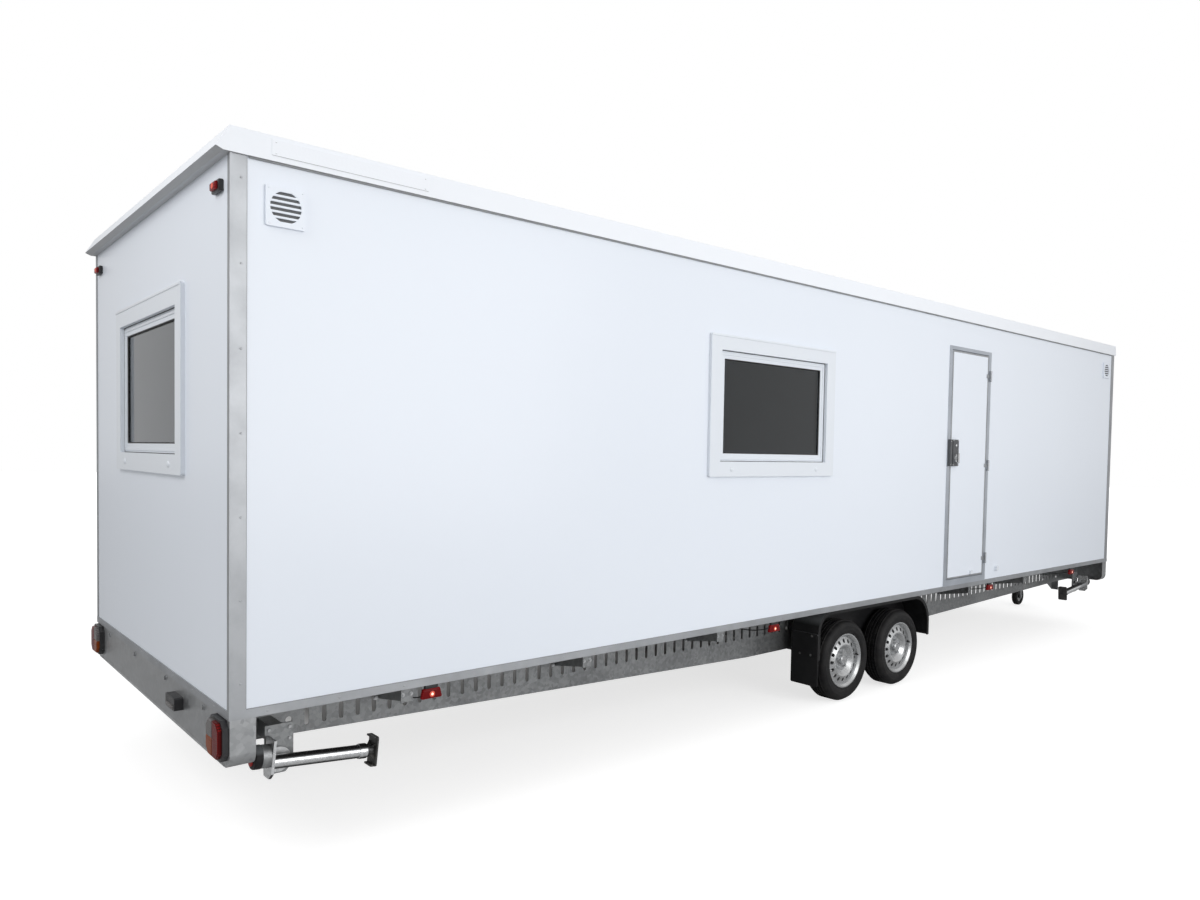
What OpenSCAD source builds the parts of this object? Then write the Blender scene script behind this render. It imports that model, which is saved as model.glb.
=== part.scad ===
// Portable site cabin on a tandem-axle trailer: a long sandwich-panel box with one door,
// three fixed windows and vents, carried on slotted tapered beams, with four swing-down
// jack legs, an A-frame drawbar and a jockey wheel.
// +X runs towards the drawbar, +Y to the left, +Z up. The ground is z = 0 and the origin
// is under the middle of the whole length.

/* [Cabin body] */
// Length of the cabin over its end walls
body_l = 9360; // [8200:20:10600]
// Width of the cabin over its side walls
body_w = 2550; // [2400:10:2600]
// Height of wall that shows between the bottom rail and the roof edge
wall_h = 2240; // [2150:10:2500]
// Thickness of the sandwich wall panels
wall_t = 46; // [42:1:60]
// Height of the bottom rail's upper edge above the ground
deck_z = 735; // [700:5:800]
// Thickness of the floor panel
floor_t = 60; // [50:1:80]
// Height of the bottom rail's outer face
rail_h = 36; // [30:1:60]
// Sheet thickness of the bottom rail, and how far it stands proud of the walls
rail_t = 5; // [4:0.5:8]

/* [Roof] */
// Height of the roof edge band
roof_h = 102; // [80:1:140]
// Thickness of the roof skin over the roof panel
roof_skin = 12; // [8:1:20]
// Roof overhang at the rear end
roof_over_rear = 60; // [40:1:120]
// Roof overhang at the front end
roof_over_front = 26; // [20:1:120]
// Roof overhang at the long sides
roof_over_side = 14; // [10:1:30]
// Height of the sharp edge at each end of the roof above the wall's top
roof_nose_h = 12; // [8:1:40]

/* [Corner trims] */
// Width of the corner trim on the long sides
trim_side_w = 62; // [40:1:80]
// Width of the corner trim on the end walls
trim_end_w = 24; // [15:1:40]
// Thickness of the corner trim
trim_t = 4; // [3:0.5:5]

/* [Windows] */
// Clear width inside the window lining
win_w = 1100; // [800:10:1400]
// Clear height inside the window lining
win_h = 690; // [500:10:900]
// Height of the window's middle above the bottom rail
win_mid_z = 1380; // [1200:10:1500]
// Distance of the side windows' middle from the rear wall
win_x = 3455; // [2000:5:3700]
// Width of the window's outer flange
win_flange_w = 95; // [60:1:120]
// How far the window's outer flange stands off the wall
win_flange_t = 20; // [10:1:30]
// Wall thickness of the window lining
win_lining_t = 15; // [10:1:25]
// Face width of the sash bars
sash_w = 50; // [35:1:70]
// Depth of the sash
sash_d = 38; // [30:1:40]
// Thickness of the glazing unit
pane_t = 20; // [10:1:28]

/* [Door] */
// Width over the door frame
door_w = 740; // [700:5:1000]
// Height of the door frame's head above the bottom rail
door_top_z = 2020; // [1950:5:2100]
// Distance of the door frame from the front wall
door_from_front = 2878; // [1500:5:3200]
// Face width of the door frame's posts
door_post_w = 48; // [40:1:70]
// Face height of the door frame's head
door_head_h = 30; // [25:1:60]
// Height of the door sill above the bottom rail
door_sill_z = 53; // [40:1:80]
// Gap round the door leaf
door_gap = 5; // [5:0.5:8]
// Thickness of the door leaf
leaf_t = 34; // [28:1:36]
// How far the door frame stands proud of the wall
door_proud = 3; // [2:0.5:6]
// Radius of the door hinge knuckles
knuckle_r = 8; // [6:0.5:10]
// Height of one door hinge
hinge_h = 96; // [70:2:140]
// Height of the lock's middle above the bottom rail
lock_z = 1126; // [1000:1:1250]

/* [Vents] */
// Side of the square vent plate
vent_w = 165; // [120:1:200]
// Diameter of the round louvre
vent_d = 130; // [90:1:150]
// Height of the vent's middle above the bottom rail
vent_z = 2062; // [1900:1:2100]
// Distance of the vent's middle from the end wall
vent_x = 217; // [150:1:400]
// Number of louvre slots
vent_slots = 6; // [4:1:8]

/* [Chassis] */
// Distance of the beam webs in from the cabin sides
beam_in = 320; // [300:5:420]
// Width of the beam flanges
beam_flange = 65; // [50:1:90]
// Sheet thickness of the beams
beam_t = 5; // [4:0.5:8]
// Depth of the beams at the rear end
beam_rear_d = 196; // [185:1:198]
// Depth of the beams over the axles
beam_mid_d = 315; // [290:1:330]
// Depth of the beams at the front end
beam_front_d = 215; // [210:1:260]
// Width of a beam slot
slot_w = 22; // [15:1:30]
// Length of a beam slot
slot_l = 80; // [40:1:88]
// Distance between beam slots
slot_pitch = 84; // [70:1:140]
// Distance between outriggers
outrigger_pitch = 1096; // [900:2:1300]
// Distance of the first outrigger from the rear wall
outrigger_first = 810; // [780:5:900]
// Depth of the end boards below the bottom rail
board_h = 206; // [204:1:208]
// How far the end boards return along the sides
board_return = 105; // [60:1:110]

/* [Wheels] */
// Distance between the two axles
axle_pitch = 735; // [700:5:900]
// Distance of the axle pair's middle ahead of the cabin's middle
axle_forward = 95; // [-200:5:300]
// Outside diameter of the tyres
tyre_d = 600; // [560:2:620]
// Width of the tyres
tyre_w = 190; // [165:1:205]
// Diameter of the rims over their flanges
rim_d = 400; // [380:1:430]
// Width of the rims over their flanges
rim_w = 166; // [150:1:180]
// Distance of the wheels' middle in from the cabin sides
wheel_in = 122; // [115:1:135]
// Number of openings in a rim
rim_holes = 16; // [10:1:20]
// Diameter of the stub axles
stub_d = 46; // [40:1:60]

/* [Jack legs] */
// Distance of a rear leg's pivot from the rear wall
leg_in_rear = 250; // [240:5:320]
// Distance of a front leg's pivot from the front wall
leg_in_front = 425; // [340:5:460]
// Distance of a leg's tube in from the cabin side
leg_side_in = 115; // [100:1:140]
// Drop of a leg's pivot below the bottom rail
leg_drop = 287; // [275:1:300]
// How far a stowed leg droops below level, in degrees
leg_droop = 5.5; // [2:0.5:8]
// Gap left under the foot when the leg hangs straight down
leg_ground_gap = 12; // [10:1:60]
// Outside diameter of the outer leg tube
leg_od = 60; // [55:1:70]
// Outside diameter of the inner leg tube
leg_id = 50; // [40:1:50]
// Length of a foot plate
foot_l = 138; // [110:1:200]
// Width of a foot plate
foot_w = 86; // [80:1:140]

/* [Drawbar] */
// Reach of the drawbar ahead of the front wall
drawbar_reach = 1500; // [1300:10:2000]
// Height of the drawbar arms
arm_h = 100; // [80:1:120]
// Width of the drawbar arms
arm_w = 70; // [50:1:80]
// Bore of the towing eye
eye_d = 40; // [30:1:60]
// Thickness of the towing eye
eye_t = 40; // [30:1:50]
// Distance of the jockey wheel's stem ahead of the front wall
jockey_x = 540; // [400:5:700]
// Distance of the jockey wheel's stem to the right of the middle
jockey_y = 105; // [0:1:150]
// Diameter of the jockey wheel
jockey_d = 220; // [180:1:240]
// Width of the jockey wheel
jockey_w = 60; // [50:1:80]

/* [Lamps] */
// Width of a tail lamp
tail_w = 180; // [150:1:210]
// Height of a tail lamp
tail_h = 170; // [140:1:180]
// Distance of the outer side marker lamps from the end walls
marker_end = 925; // [900:5:1000]
// Distance of the rear inner side marker lamp from the mudguard
marker_rear = 502; // [300:2:700]
// Distance of the front inner side marker lamp from the mudguard
marker_front = 1063; // [700:1:1300]

/* [Hidden] */
$fn = 64;
// Overlap used where a cut passes a face
eps = 1;
// Running clearance of turning and sliding round pieces, per side
run_gap = 0.3;
// Clearance between a moving hinge strap and the frame it passes
strap_gap = 2;

total_l = roof_over_rear + body_l + drawbar_reach;
x_rear = roof_over_rear - total_l / 2;
x_front = x_rear + body_l;
x_mid = (x_rear + x_front) / 2;
x_tip = x_front + drawbar_reach;
half_w = body_w / 2;
in_w = half_w - wall_t;

z_under = deck_z - rail_h;
z_sill = z_under + rail_t;
z_floor = z_under + floor_t;
z_eaves = deck_z + wall_h;
z_roof = z_eaves + roof_h;
roof_top_out = 8;

// Doorway
door_x1 = x_front - door_from_front;
door_x0 = door_x1 - door_w;
door_top = deck_z + door_top_z;
leaf_x0 = door_x0 + door_post_w + door_gap;
leaf_x1 = door_x1 - door_post_w - door_gap;
leaf_z0 = deck_z + door_sill_z + door_gap;
leaf_z1 = door_top - door_head_h - door_gap;
door_face = -half_w - door_proud;
hinge_shift = 2;
hinge_x = door_x1 - door_post_w / 2 + hinge_shift;
hinge_y = door_face - knuckle_r - strap_gap;
hinge_pin_r = knuckle_r / 2;
hinge_low = 142;
hinge_high = 177;
hinge_zs = [leaf_z0 + hinge_low, (leaf_z0 + leaf_z1) / 2, leaf_z1 - hinge_high];
stop_w = 14;
stop_t = 8;
strap_t = 3;
strap_l = 30;

// Windows and vents
win_corner_r = 12;
sash_y = 4;
pane_y = sash_y + 10;
vent_t = 12;
vent_slot_d = 9;
vent_slot_share = 0.6;
vent_corner_r = 8;

// Lock
lock_w = 95;
lock_h = 222;
lock_d = 22;
lock_x0 = leaf_x0 + door_gap;
lock_corner_r = 8;
strike_w = 32;
strike_in = 14;
handle_in = 52;
handle_drop = 45;
handle_x = lock_x0 + handle_in;
handle_z = deck_z + lock_z - handle_drop;
handle_seat = 12;
handle_rose_d = 66;
handle_rose_t = 5;
handle_neck_d = 24;
handle_neck_l = 10;
handle_grip_l = 84;
handle_grip_w = 24;
handle_grip_t = 12;
clip_size = [40, 32, 14];
catch_size = [44, 40, 22];
clip_corner_r = 6;
clip_reach = 248;
catch_reach = 232;
clip_rise = 90;
clip_x = hinge_x - clip_reach;
catch_x = hinge_x + catch_reach;
clip_z = deck_z + clip_rise;

// Axles and wheels
axle_x = x_mid + axle_forward;
wheel_x_rear = axle_x - axle_pitch / 2;
wheel_x_front = axle_x + axle_pitch / 2;
wheel_y = half_w - wheel_in;
wheel_z = tyre_d / 2;
beam_y = half_w - beam_in;
beam_x0 = x_rear + beam_t;
beam_x1 = x_front - beam_t;
beam_low_z = z_under - beam_mid_d;
beam_taper_rear = 800;
beam_taper_front = 450;
slot_first = 441;
slot_last = 200;
slot_drop = 101;
beam_hole_in = 356;
beam_hole_d = 30;

// Cross bars and outriggers
outrigger_last = 300;
outrigger_clear = 600;
outrigger_t = 6;
outrigger_w = 60;
outrigger_tip_in = 40;
outrigger_tip_h = 72;
outrigger_root_h = 120;
cross_bar_h = 80;

// Axles
axle_arm_l = 170;
axle_arm_in = 40;
axle_arm_t = 28;
axle_arm_h = 64;
axle_boss_d = 90;
axle_tube_low = 40;
stub_reach = 30;
stub_l = axle_arm_in + tyre_w / 2 + stub_reach;

// Mudguards and flaps
guard_rear_gap = 90;
guard_front_gap = 110;
guard_x0 = wheel_x_rear - tyre_d / 2 - guard_rear_gap;
guard_x1 = wheel_x_front + tyre_d / 2 + guard_front_gap;
guard_front_r = 230;
guard_rear_r = 150;
guard_drop = 340;
guard_w = tyre_w + 34;
guard_y = wheel_y + guard_w / 2;
guard_t = 6;
guard_lip = 26;
flap_t = 8;
flap_top_gap = 2;
flap_over = 6;
flap_ground = 170;
flap_corner_r = 12;

// End boards
board_t = 4;
board_r = 60;
board_notch_gap = 3;

// Lamps
tail_in = 8;
tail_top_gap = 4;
tail_y = half_w - tail_w / 2 - tail_in;
tail_z = z_under - tail_top_gap - tail_h / 2;
tail_d = 26;
tail_cut = 30;
tail_lens_in = 10;
tail_lens_t = 12;
plate_lamp = [150, 60, 40];
plate_lamp_in = 735;
plate_lamp_drop = 83;
plate_lamp_y = -half_w + plate_lamp_in;
plate_lamp_z = z_under - plate_lamp_drop;
top_marker = [120, 62, 30];
top_marker_in = 130;
top_marker_drop = 110;
side_marker_big = [110, 46, 26];
side_marker = [60, 32, 26];
lamp_corner_r = 10;

// Tyres and rims
tyre_groove = 8;
tyre_shoulder_r = 36;
rim_lip = 7;
rim_seat = 14;
rim_well = 30;
rim_sheet = 8;
rim_well_w = 18;
rim_ramp_w = 30;
rim_hole_w = 24;
rim_hole_l = 30;
rim_hole_in = 26;
hub_drum_r = 95;
hub_cap_r = 34;
hub_face_z = 72;
hub_bevel = 4;
// Pressed disc of a rim: distances in from the drop centre and heights, on its outer face
rim_face = [[90, 44], [64, 70], [52, 74], [18, 60]];
rim_disc_t = 12;
rim_root_z = [44, 56];

// Drawbar
arm_back = 460;
coupling_l = 320;
arm_top = z_under - beam_front_d;
arm_x0 = x_front - arm_back;
arm_x1 = x_tip - coupling_l;
arm_y0 = beam_y - beam_flange / 2;
arm_y1 = 60;
arm_mid_z = arm_top - arm_h / 2;
coupling_plate = [200, 200, 10];
coupling_rib = [150, 30];
drawtube_d = 44;
eye_wall = 35;
eye_r = eye_d / 2 + eye_wall;
eye_x = x_tip - eye_r;

// Jockey wheel
jockey_at = x_front + jockey_x;
jockey_stem_r = 24;
jockey_tube_r = 30;
jockey_tube_low = 70;
jockey_tube_high = 300;
jockey_stem_high = 200;
jockey_tube_z0 = arm_top - arm_h - jockey_tube_low;
jockey_trail = 40;
jockey_crown_t = 14;
jockey_crown_z = jockey_d + 26;
jockey_pin_d = 20;
jockey_cheek_t = 8;
jockey_cheek_w = 60;
jockey_cheek_y = jockey_w / 2 + 5;
jockey_bar_w = 80;
jockey_bar_h = 60;
jockey_clamp_w = 90;

// Legs
leg_y = half_w - leg_side_in;
leg_z = deck_z - leg_drop;
leg_len = leg_z - leg_ground_gap;
leg_back = 62;
leg_cap_l = 68;
leg_cap_d = 96;
leg_cap_up = 34;
leg_cap_out = 14;
leg_sleeve_short = 45;
leg_hub_d = 110;
leg_pin_d = 40;
leg_pin_l = 8;
leg_hub_y = leg_od / 2 - 3;
leg_plate_y = leg_od / 2 + 10;
leg_bore_start = 10;
leg_id_wall = 5;
foot_t = 8;
foot_lip = 26;
foot_corner_r = 10;
stop_plate_t = 12;
stop_plate_high = 108;
stop_plate_low = 60;
stop_plate_out = 64;
stop_plate_cut = 26;
stop_plate_edge = 10;
mount_t = 10;
mount_back = 55;
mount_ahead = 70;
mount_high = 152;
mount_low = 65;
mount_cut = 35;
mount_arm_w = 60;
mount_arm_z = [70, 145];

// A box between pairs of coordinates
module box(x, y, z) {
    translate([x[0], y[0], z[0]]) cube([x[1] - x[0], y[1] - y[0], z[1] - z[0]]);
}

// Children as they are and mirrored to the left side
module both_sides() {
    children();
    mirror([0, 1, 0]) children();
}

// Children at the rear and mirrored to the front end of the cabin
module both_ends() {
    children();
    translate([2 * x_mid, 0, 0]) mirror([1, 0, 0]) children();
}

// Children mirrored only when asked
module mirror_if(on, v) {
    if (on) mirror(v) children();
    else children();
}

// A rectangle about the origin with round corners
module round_rect(w, h, r) {
    square([w - 2 * r, h], center = true);
    square([w, h - 2 * r], center = true);
    for (sx = [-1, 1], sy = [-1, 1]) translate([sx * (w / 2 - r), sy * (h / 2 - r)]) circle(r);
}

// An outline in X and Z, made into a plate that runs from y to y + t
module plate_xz(y, t) {
    translate([0, y + t, 0]) rotate([90, 0, 0]) linear_extrude(t) children();
}

// An outline in Y and Z, made into a plate that runs from x to x + t
module plate_yz(x, t) {
    translate([x, 0, 0]) rotate([90, 0, 90]) linear_extrude(t) children();
}

// Places the children, drawn facing -Y about the window's middle, in each window
module at_windows() {
    z = deck_z + win_mid_z;
    both_sides() translate([x_rear + win_x, -half_w, z]) children();
    translate([x_rear, 0, z]) rotate([0, 0, -90]) children();
}

// The hole that a window's lining fills
module window_hole() {
    box([-win_w / 2 - win_lining_t, win_w / 2 + win_lining_t], [-eps, wall_t + eps],
        [-win_h / 2 - win_lining_t, win_h / 2 + win_lining_t]);
}

module floor_panel() {
    color("tan")
    box([x_rear + wall_t, x_front - wall_t], [-in_w, in_w], [z_under, z_floor]);
}

module rear_wall() {
    color("gainsboro")
    difference() {
        box([x_rear, x_rear + wall_t], [-in_w, in_w], [z_sill, z_eaves]);
        at_windows() window_hole();
    }
}

module front_wall() {
    color("gainsboro")
    box([x_front - wall_t, x_front], [-in_w, in_w], [z_sill, z_eaves]);
}

module left_wall() {
    color("ghostwhite")
    difference() {
        box([x_rear, x_front], [in_w, half_w], [z_sill, z_eaves]);
        at_windows() window_hole();
    }
}

module right_wall_rear() {
    color("ghostwhite")
    difference() {
        box([x_rear, door_x0], [-half_w, -in_w], [z_sill, z_eaves]);
        at_windows() window_hole();
    }
}

module right_wall_front() {
    color("ghostwhite")
    box([door_x1, x_front], [-half_w, -in_w], [z_sill, z_eaves]);
}

module right_wall_lintel() {
    color("ghostwhite")
    box([door_x0, door_x1], [-half_w, -in_w], [door_top, z_eaves]);
}

module roof_panel() {
    color("white")
    box([x_rear, x_front], [-half_w, half_w], [z_eaves, z_roof - roof_skin]);
}

// Side outline of the roof: each end slopes down from the top to an edge that overhangs the wall
module roof_outline() {
    x0 = x_rear - roof_over_rear;
    x1 = x_front + roof_over_front;
    nose_z = z_eaves + roof_nose_h;
    polygon([
        [x0, nose_z], [x0 + roof_over_rear / 2, z_eaves],
        [x1 - roof_over_front / 2, z_eaves], [x1, nose_z],
        [x_front + roof_top_out, z_roof], [x_rear - roof_top_out, z_roof]]);
}

module roof_cap() {
    color("white")
    difference() {
        plate_xz(-half_w - roof_over_side, body_w + 2 * roof_over_side) roof_outline();
        box([x_rear, x_front], [-half_w, half_w], [z_eaves - eps, z_roof - roof_skin]);
    }
}

module corner_trims() {
    color("darkgray")
    both_ends() both_sides() {
        box([x_rear - trim_t, x_rear + trim_side_w], [-half_w - trim_t, -half_w], [deck_z, z_eaves]);
        box([x_rear - trim_t, x_rear], [-half_w - trim_t, -half_w + trim_end_w], [deck_z, z_eaves]);
    }
}

// One angle section all round: a flange outside the walls and a foot under them
module bottom_rail() {
    color("silver")
    difference() {
        box([x_rear - rail_t, x_front + rail_t], [-half_w - rail_t, half_w + rail_t], [z_under, deck_z]);
        box([x_rear, x_front], [-half_w, half_w], [z_sill, deck_z + eps]);
        box([x_rear + wall_t, x_front - wall_t], [-in_w, in_w], [z_under - eps, deck_z]);
    }
}

// Posts, head and sill, with a stop for the leaf along the inner edge
module door_frame() {
    clear_x = [door_x0 + door_post_w, door_x1 - door_post_w];
    clear_z = [deck_z + door_sill_z, door_top - door_head_h];
    color("silver")
    difference() {
        box([door_x0, door_x1], [door_face, -in_w], [deck_z, door_top]);
        box(clear_x, [door_face - eps, -in_w - stop_t], clear_z);
        box(clear_x + [stop_w, -stop_w], [door_face, -in_w + eps], clear_z + [stop_w, -stop_w]);
    }
    color("silver")
    box([door_x0, door_x1], [-half_w, -in_w], [z_sill, deck_z]);
}

// The two outer knuckles and the strap of each hinge, on the frame
module door_hinges() {
    knuckle = hinge_h / 3 - 1;
    color("gray")
    for (z = hinge_zs) {
        for (s = [-1, 1]) translate([hinge_x, hinge_y, z + s * (hinge_h / 3) - knuckle / 2])
            cylinder(r = knuckle_r, h = knuckle);
        for (s = [-1, 1]) box([hinge_x - hinge_pin_r, door_x1], [door_face - strap_t, door_face],
            [z + s * (hinge_h / 3) - knuckle / 2, z + s * (hinge_h / 3) + knuckle / 2]);
        translate([hinge_x, hinge_y, z - hinge_h / 2]) cylinder(r = hinge_pin_r, h = hinge_h);
    }
}

module door_leaf() {
    color("ghostwhite")
    box([leaf_x0, leaf_x1], [door_face, door_face + leaf_t], [leaf_z0, leaf_z1]);
}

// The middle knuckle of each hinge and its strap on the leaf
module door_hinge_straps() {
    knuckle = hinge_h / 3 - 1;
    color("gray")
    for (z = hinge_zs) difference() {
        union() {
            translate([hinge_x, hinge_y, z - knuckle / 2]) cylinder(r = knuckle_r, h = knuckle);
            box([leaf_x1 - strap_l, hinge_x], [door_face - strap_gap - strap_t, door_face - strap_gap],
                [z - knuckle / 2, z + knuckle / 2]);
            box([leaf_x1 - strap_l, leaf_x1], [door_face - strap_gap - strap_t, door_face],
                [z - knuckle / 2, z + knuckle / 2]);
        }
        translate([hinge_x, hinge_y, z - hinge_h / 2]) cylinder(r = hinge_pin_r + run_gap, h = hinge_h);
    }
}

// Lock case on the leaf, with a bore that the handle's spindle turns in
module door_lock() {
    z = deck_z + lock_z;
    color("dimgray")
    difference() {
        translate([lock_x0 + lock_w / 2, 0, z]) plate_xz(door_face - lock_d, lock_d)
            round_rect(lock_w, lock_h, lock_corner_r);
        translate([handle_x, door_face - lock_d + handle_seat, handle_z]) rotate([90, 0, 0])
            cylinder(d = handle_neck_d + 2 * run_gap, h = handle_seat + eps);
    }
}

// Rose, neck and cross grip that turn together on the lock case
module door_handle() {
    face = door_face - lock_d - run_gap;
    spindle = handle_seat - 2;
    color("lightgray")
    translate([handle_x, face, handle_z]) rotate([90, 0, 0]) {
        translate([0, 0, -spindle]) cylinder(d = handle_neck_d, h = spindle + handle_rose_t + handle_neck_l);
        cylinder(d = handle_rose_d, h = handle_rose_t);
        translate([0, 0, handle_rose_t + handle_neck_l]) linear_extrude(handle_grip_t)
            round_rect(handle_grip_w, handle_grip_l, handle_grip_w / 2 - 1);
    }
}

module door_strike() {
    x0 = door_x0 + strike_in;
    color("dimgray")
    box([x0, x0 + strike_w], [door_face - lock_d, door_face],
        [deck_z + lock_z - lock_h / 2, deck_z + lock_z + lock_h / 2]);
}

// Half of the hold-open catch, on the leaf
module door_clip() {
    color("white")
    translate([clip_x, 0, clip_z]) plate_xz(door_face - clip_size.z, clip_size.z)
        round_rect(clip_size.x, clip_size.y, clip_corner_r);
}

// Other half of the hold-open catch, on the wall ahead of the door
module wall_catch() {
    color("white")
    translate([catch_x, 0, clip_z]) plate_xz(-half_w - catch_size.z, catch_size.z)
        round_rect(catch_size.x, catch_size.y, clip_corner_r);
}

module window_frames() {
    color("white")
    at_windows() {
        plate_xz(-win_flange_t, win_flange_t) difference() {
            round_rect(win_w + 2 * win_flange_w, win_h + 2 * win_flange_w, win_corner_r);
            square([win_w, win_h], center = true);
        }
        plate_xz(-eps, wall_t + eps) difference() {
            square([win_w + 2 * win_lining_t, win_h + 2 * win_lining_t], center = true);
            square([win_w, win_h], center = true);
        }
    }
}

module window_sashes() {
    color("white")
    at_windows() plate_xz(sash_y, sash_d) difference() {
        square([win_w, win_h], center = true);
        square([win_w - 2 * sash_w, win_h - 2 * sash_w], center = true);
    }
}

module window_panes() {
    color("slategray")
    at_windows() plate_xz(pane_y, pane_t)
        square([win_w - 2 * sash_w, win_h - 2 * sash_w], center = true);
}

// Square plate with a round field of level slots, at each end of both long walls
module vent_grilles() {
    pitch = vent_d / vent_slots;
    slot = pitch * vent_slot_share;
    color("whitesmoke")
    both_ends() both_sides() translate([x_rear + vent_x, -half_w, deck_z + vent_z]) difference() {
        plate_xz(-vent_t, vent_t) round_rect(vent_w, vent_w, vent_corner_r);
        plate_xz(-vent_t - eps, vent_slot_d + eps) intersection() {
            circle(d = vent_d);
            for (i = [0 : vent_slots - 1])
                translate([-vent_d / 2, -vent_d / 2 + i * pitch + (pitch - slot) / 2]) square([vent_d, slot]);
        }
    }
}

// Side outline of a beam, drawn in by t at the top and the bottom edge
module beam_outline(t) {
    out = t > 0 ? eps : 0;
    top = z_under - t;
    polygon([
        [beam_x0 - out, top],
        [beam_x0 - out, z_under - beam_rear_d + t],
        [wheel_x_rear - beam_taper_rear, z_under - beam_mid_d + t],
        [wheel_x_front + beam_taper_front, z_under - beam_mid_d + t],
        [arm_x0, z_under - beam_front_d + t],
        [beam_x1 + out, z_under - beam_front_d + t],
        [beam_x1 + out, top]]);
}

// A row of upright slots and one round hole through both webs
module beam_slots() {
    first = beam_x0 + slot_first;
    last = beam_x1 - slot_last;
    count = floor((last - first) / slot_pitch);
    z = z_under - slot_drop - slot_l / 2;
    plate_xz(-half_w, body_w) {
        for (i = [0 : count]) translate([first + i * slot_pitch, z]) {
            square([slot_w, slot_l - slot_w], center = true);
            for (s = [-1, 1]) translate([0, s * (slot_l - slot_w) / 2]) circle(d = slot_w, $fn = 12);
        }
        translate([beam_x0 + beam_hole_in, z]) circle(d = beam_hole_d, $fn = 32);
    }
}

// Two tapered channel beams, webs outwards
module main_beams() {
    color("gray")
    difference() {
        both_sides() difference() {
            plate_xz(-beam_y, beam_flange) beam_outline(0);
            plate_xz(-beam_y + beam_t, beam_flange) beam_outline(beam_t);
        }
        beam_slots();
    }
}

// Distances of the outriggers from the rear wall, leaving the wheels free
function outriggers() = [
    for (i = [0 : floor((body_l - outrigger_first - outrigger_last) / outrigger_pitch)])
    let (x = x_rear + outrigger_first + i * outrigger_pitch)
    if (x < wheel_x_rear - outrigger_clear || x > wheel_x_front + outrigger_clear) x];

// Cross bars between the webs, and tapered outriggers from the webs to the bottom rail
module cross_members() {
    tip_y = half_w - outrigger_tip_in;
    t = outrigger_t;
    w = outrigger_w / 2;
    color("gray")
    for (x = outriggers()) {
        box([x - w, x + w], [-beam_y + beam_t, beam_y - beam_t],
            [z_under - beam_t - cross_bar_h, z_under - beam_t]);
        both_sides() {
            plate_yz(x - t / 2, t) polygon([
                [-beam_y, z_under], [-tip_y, z_under],
                [-tip_y, z_under - outrigger_tip_h], [-beam_y, z_under - outrigger_root_h]]);
            box([x - w, x + w], [-tip_y - t, -tip_y], [z_under - outrigger_tip_h, z_under]);
        }
    }
}

// Two rubber-sprung axles: a tube under the beams, trailing arms and stub axles
module axles() {
    tube = beam_low_z - wheel_z + axle_tube_low;
    arm_y = wheel_y - tyre_w / 2 - axle_arm_in;
    color("dimgray")
    for (x = [wheel_x_rear, wheel_x_front]) {
        box([x + axle_arm_l - tube / 2, x + axle_arm_l + tube / 2], [-arm_y, arm_y],
            [beam_low_z - tube, beam_low_z]);
        both_sides() {
            plate_xz(-arm_y, axle_arm_t) {
                translate([x, wheel_z]) circle(d = axle_boss_d);
                translate([x, wheel_z - axle_arm_h / 2]) square([axle_arm_l, axle_arm_h]);
                translate([x + axle_arm_l, wheel_z]) circle(d = axle_boss_d);
            }
            translate([x, -arm_y, wheel_z]) rotate([90, 0, 0]) cylinder(d = stub_d, h = stub_l);
        }
    }
}

// Side outline of the mudguard's arch, drawn in by t
module guard_outline(t) {
    x0 = guard_x0 + t;
    x1 = guard_x1 - t;
    top = z_under - t;
    rr = guard_rear_r - t;
    rf = guard_front_r - t;
    low = z_under - guard_drop - (t > 0 ? eps : 0);
    intersection() {
        union() {
            translate([x0 + rr, low]) square([x1 - x0 - rr - rf, top - low]);
            translate([x0, low]) square([rr, top - low - rr]);
            translate([x1 - rf, low]) square([rf, top - low - rf]);
            translate([x0 + rr, top - rr]) circle(rr);
            translate([x1 - rf, top - rf]) circle(rf);
        }
        translate([x0, low]) square([x1 - x0, top - low]);
    }
}

// Moulded tandem mudguards: an arch over both wheels with a cheek on the inner side and a lip
// along the outer edge
module mudguards() {
    color("black")
    both_sides() {
        plate_xz(-guard_y, guard_w) difference() {
            guard_outline(0);
            guard_outline(guard_t);
        }
        plate_xz(-guard_y, guard_t) difference() {
            guard_outline(0);
            guard_outline(guard_lip);
        }
        plate_xz(-guard_y + guard_w - guard_t, guard_t) guard_outline(0);
    }
}

// Flaps hung on the rear face of the mudguards
module mud_flaps() {
    flap_top = z_under - guard_rear_r - flap_top_gap;
    color("black")
    both_sides() plate_yz(guard_x0 - flap_t, flap_t)
        translate([-guard_y + guard_w / 2, (flap_top + flap_ground) / 2])
            round_rect(guard_w + flap_over, flap_top - flap_ground, flap_corner_r);
}

// Folded boards across both ends, with returns along the bottom and the sides. The bottom
// return is notched where the beams pass.
module end_boards() {
    t = board_t;
    z0 = z_under - board_h;
    color("gray")
    both_ends() difference() {
        plate_yz(x_rear, board_return) board_outline(half_w, z0, board_r);
        plate_yz(x_rear + t, board_return) board_outline(half_w - t, z0 + t, board_r - t);
        both_sides() box([x_rear + t, x_rear + board_return + eps],
            [-beam_y - board_notch_gap, -beam_y + beam_flange + board_notch_gap], [z0 - eps, z0 + t + eps]);
    }
}

// Outline of an end board, open at the top, with round lower corners
module board_outline(y, z0, r) {
    translate([-y, z0 + r]) square([2 * y, z_under - z0 - r]);
    translate([-y + r, z0]) square([2 * y - 2 * r, z_under - z0]);
    for (s = [-1, 1]) translate([s * (y - r), z0 + r]) circle(r);
}

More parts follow.
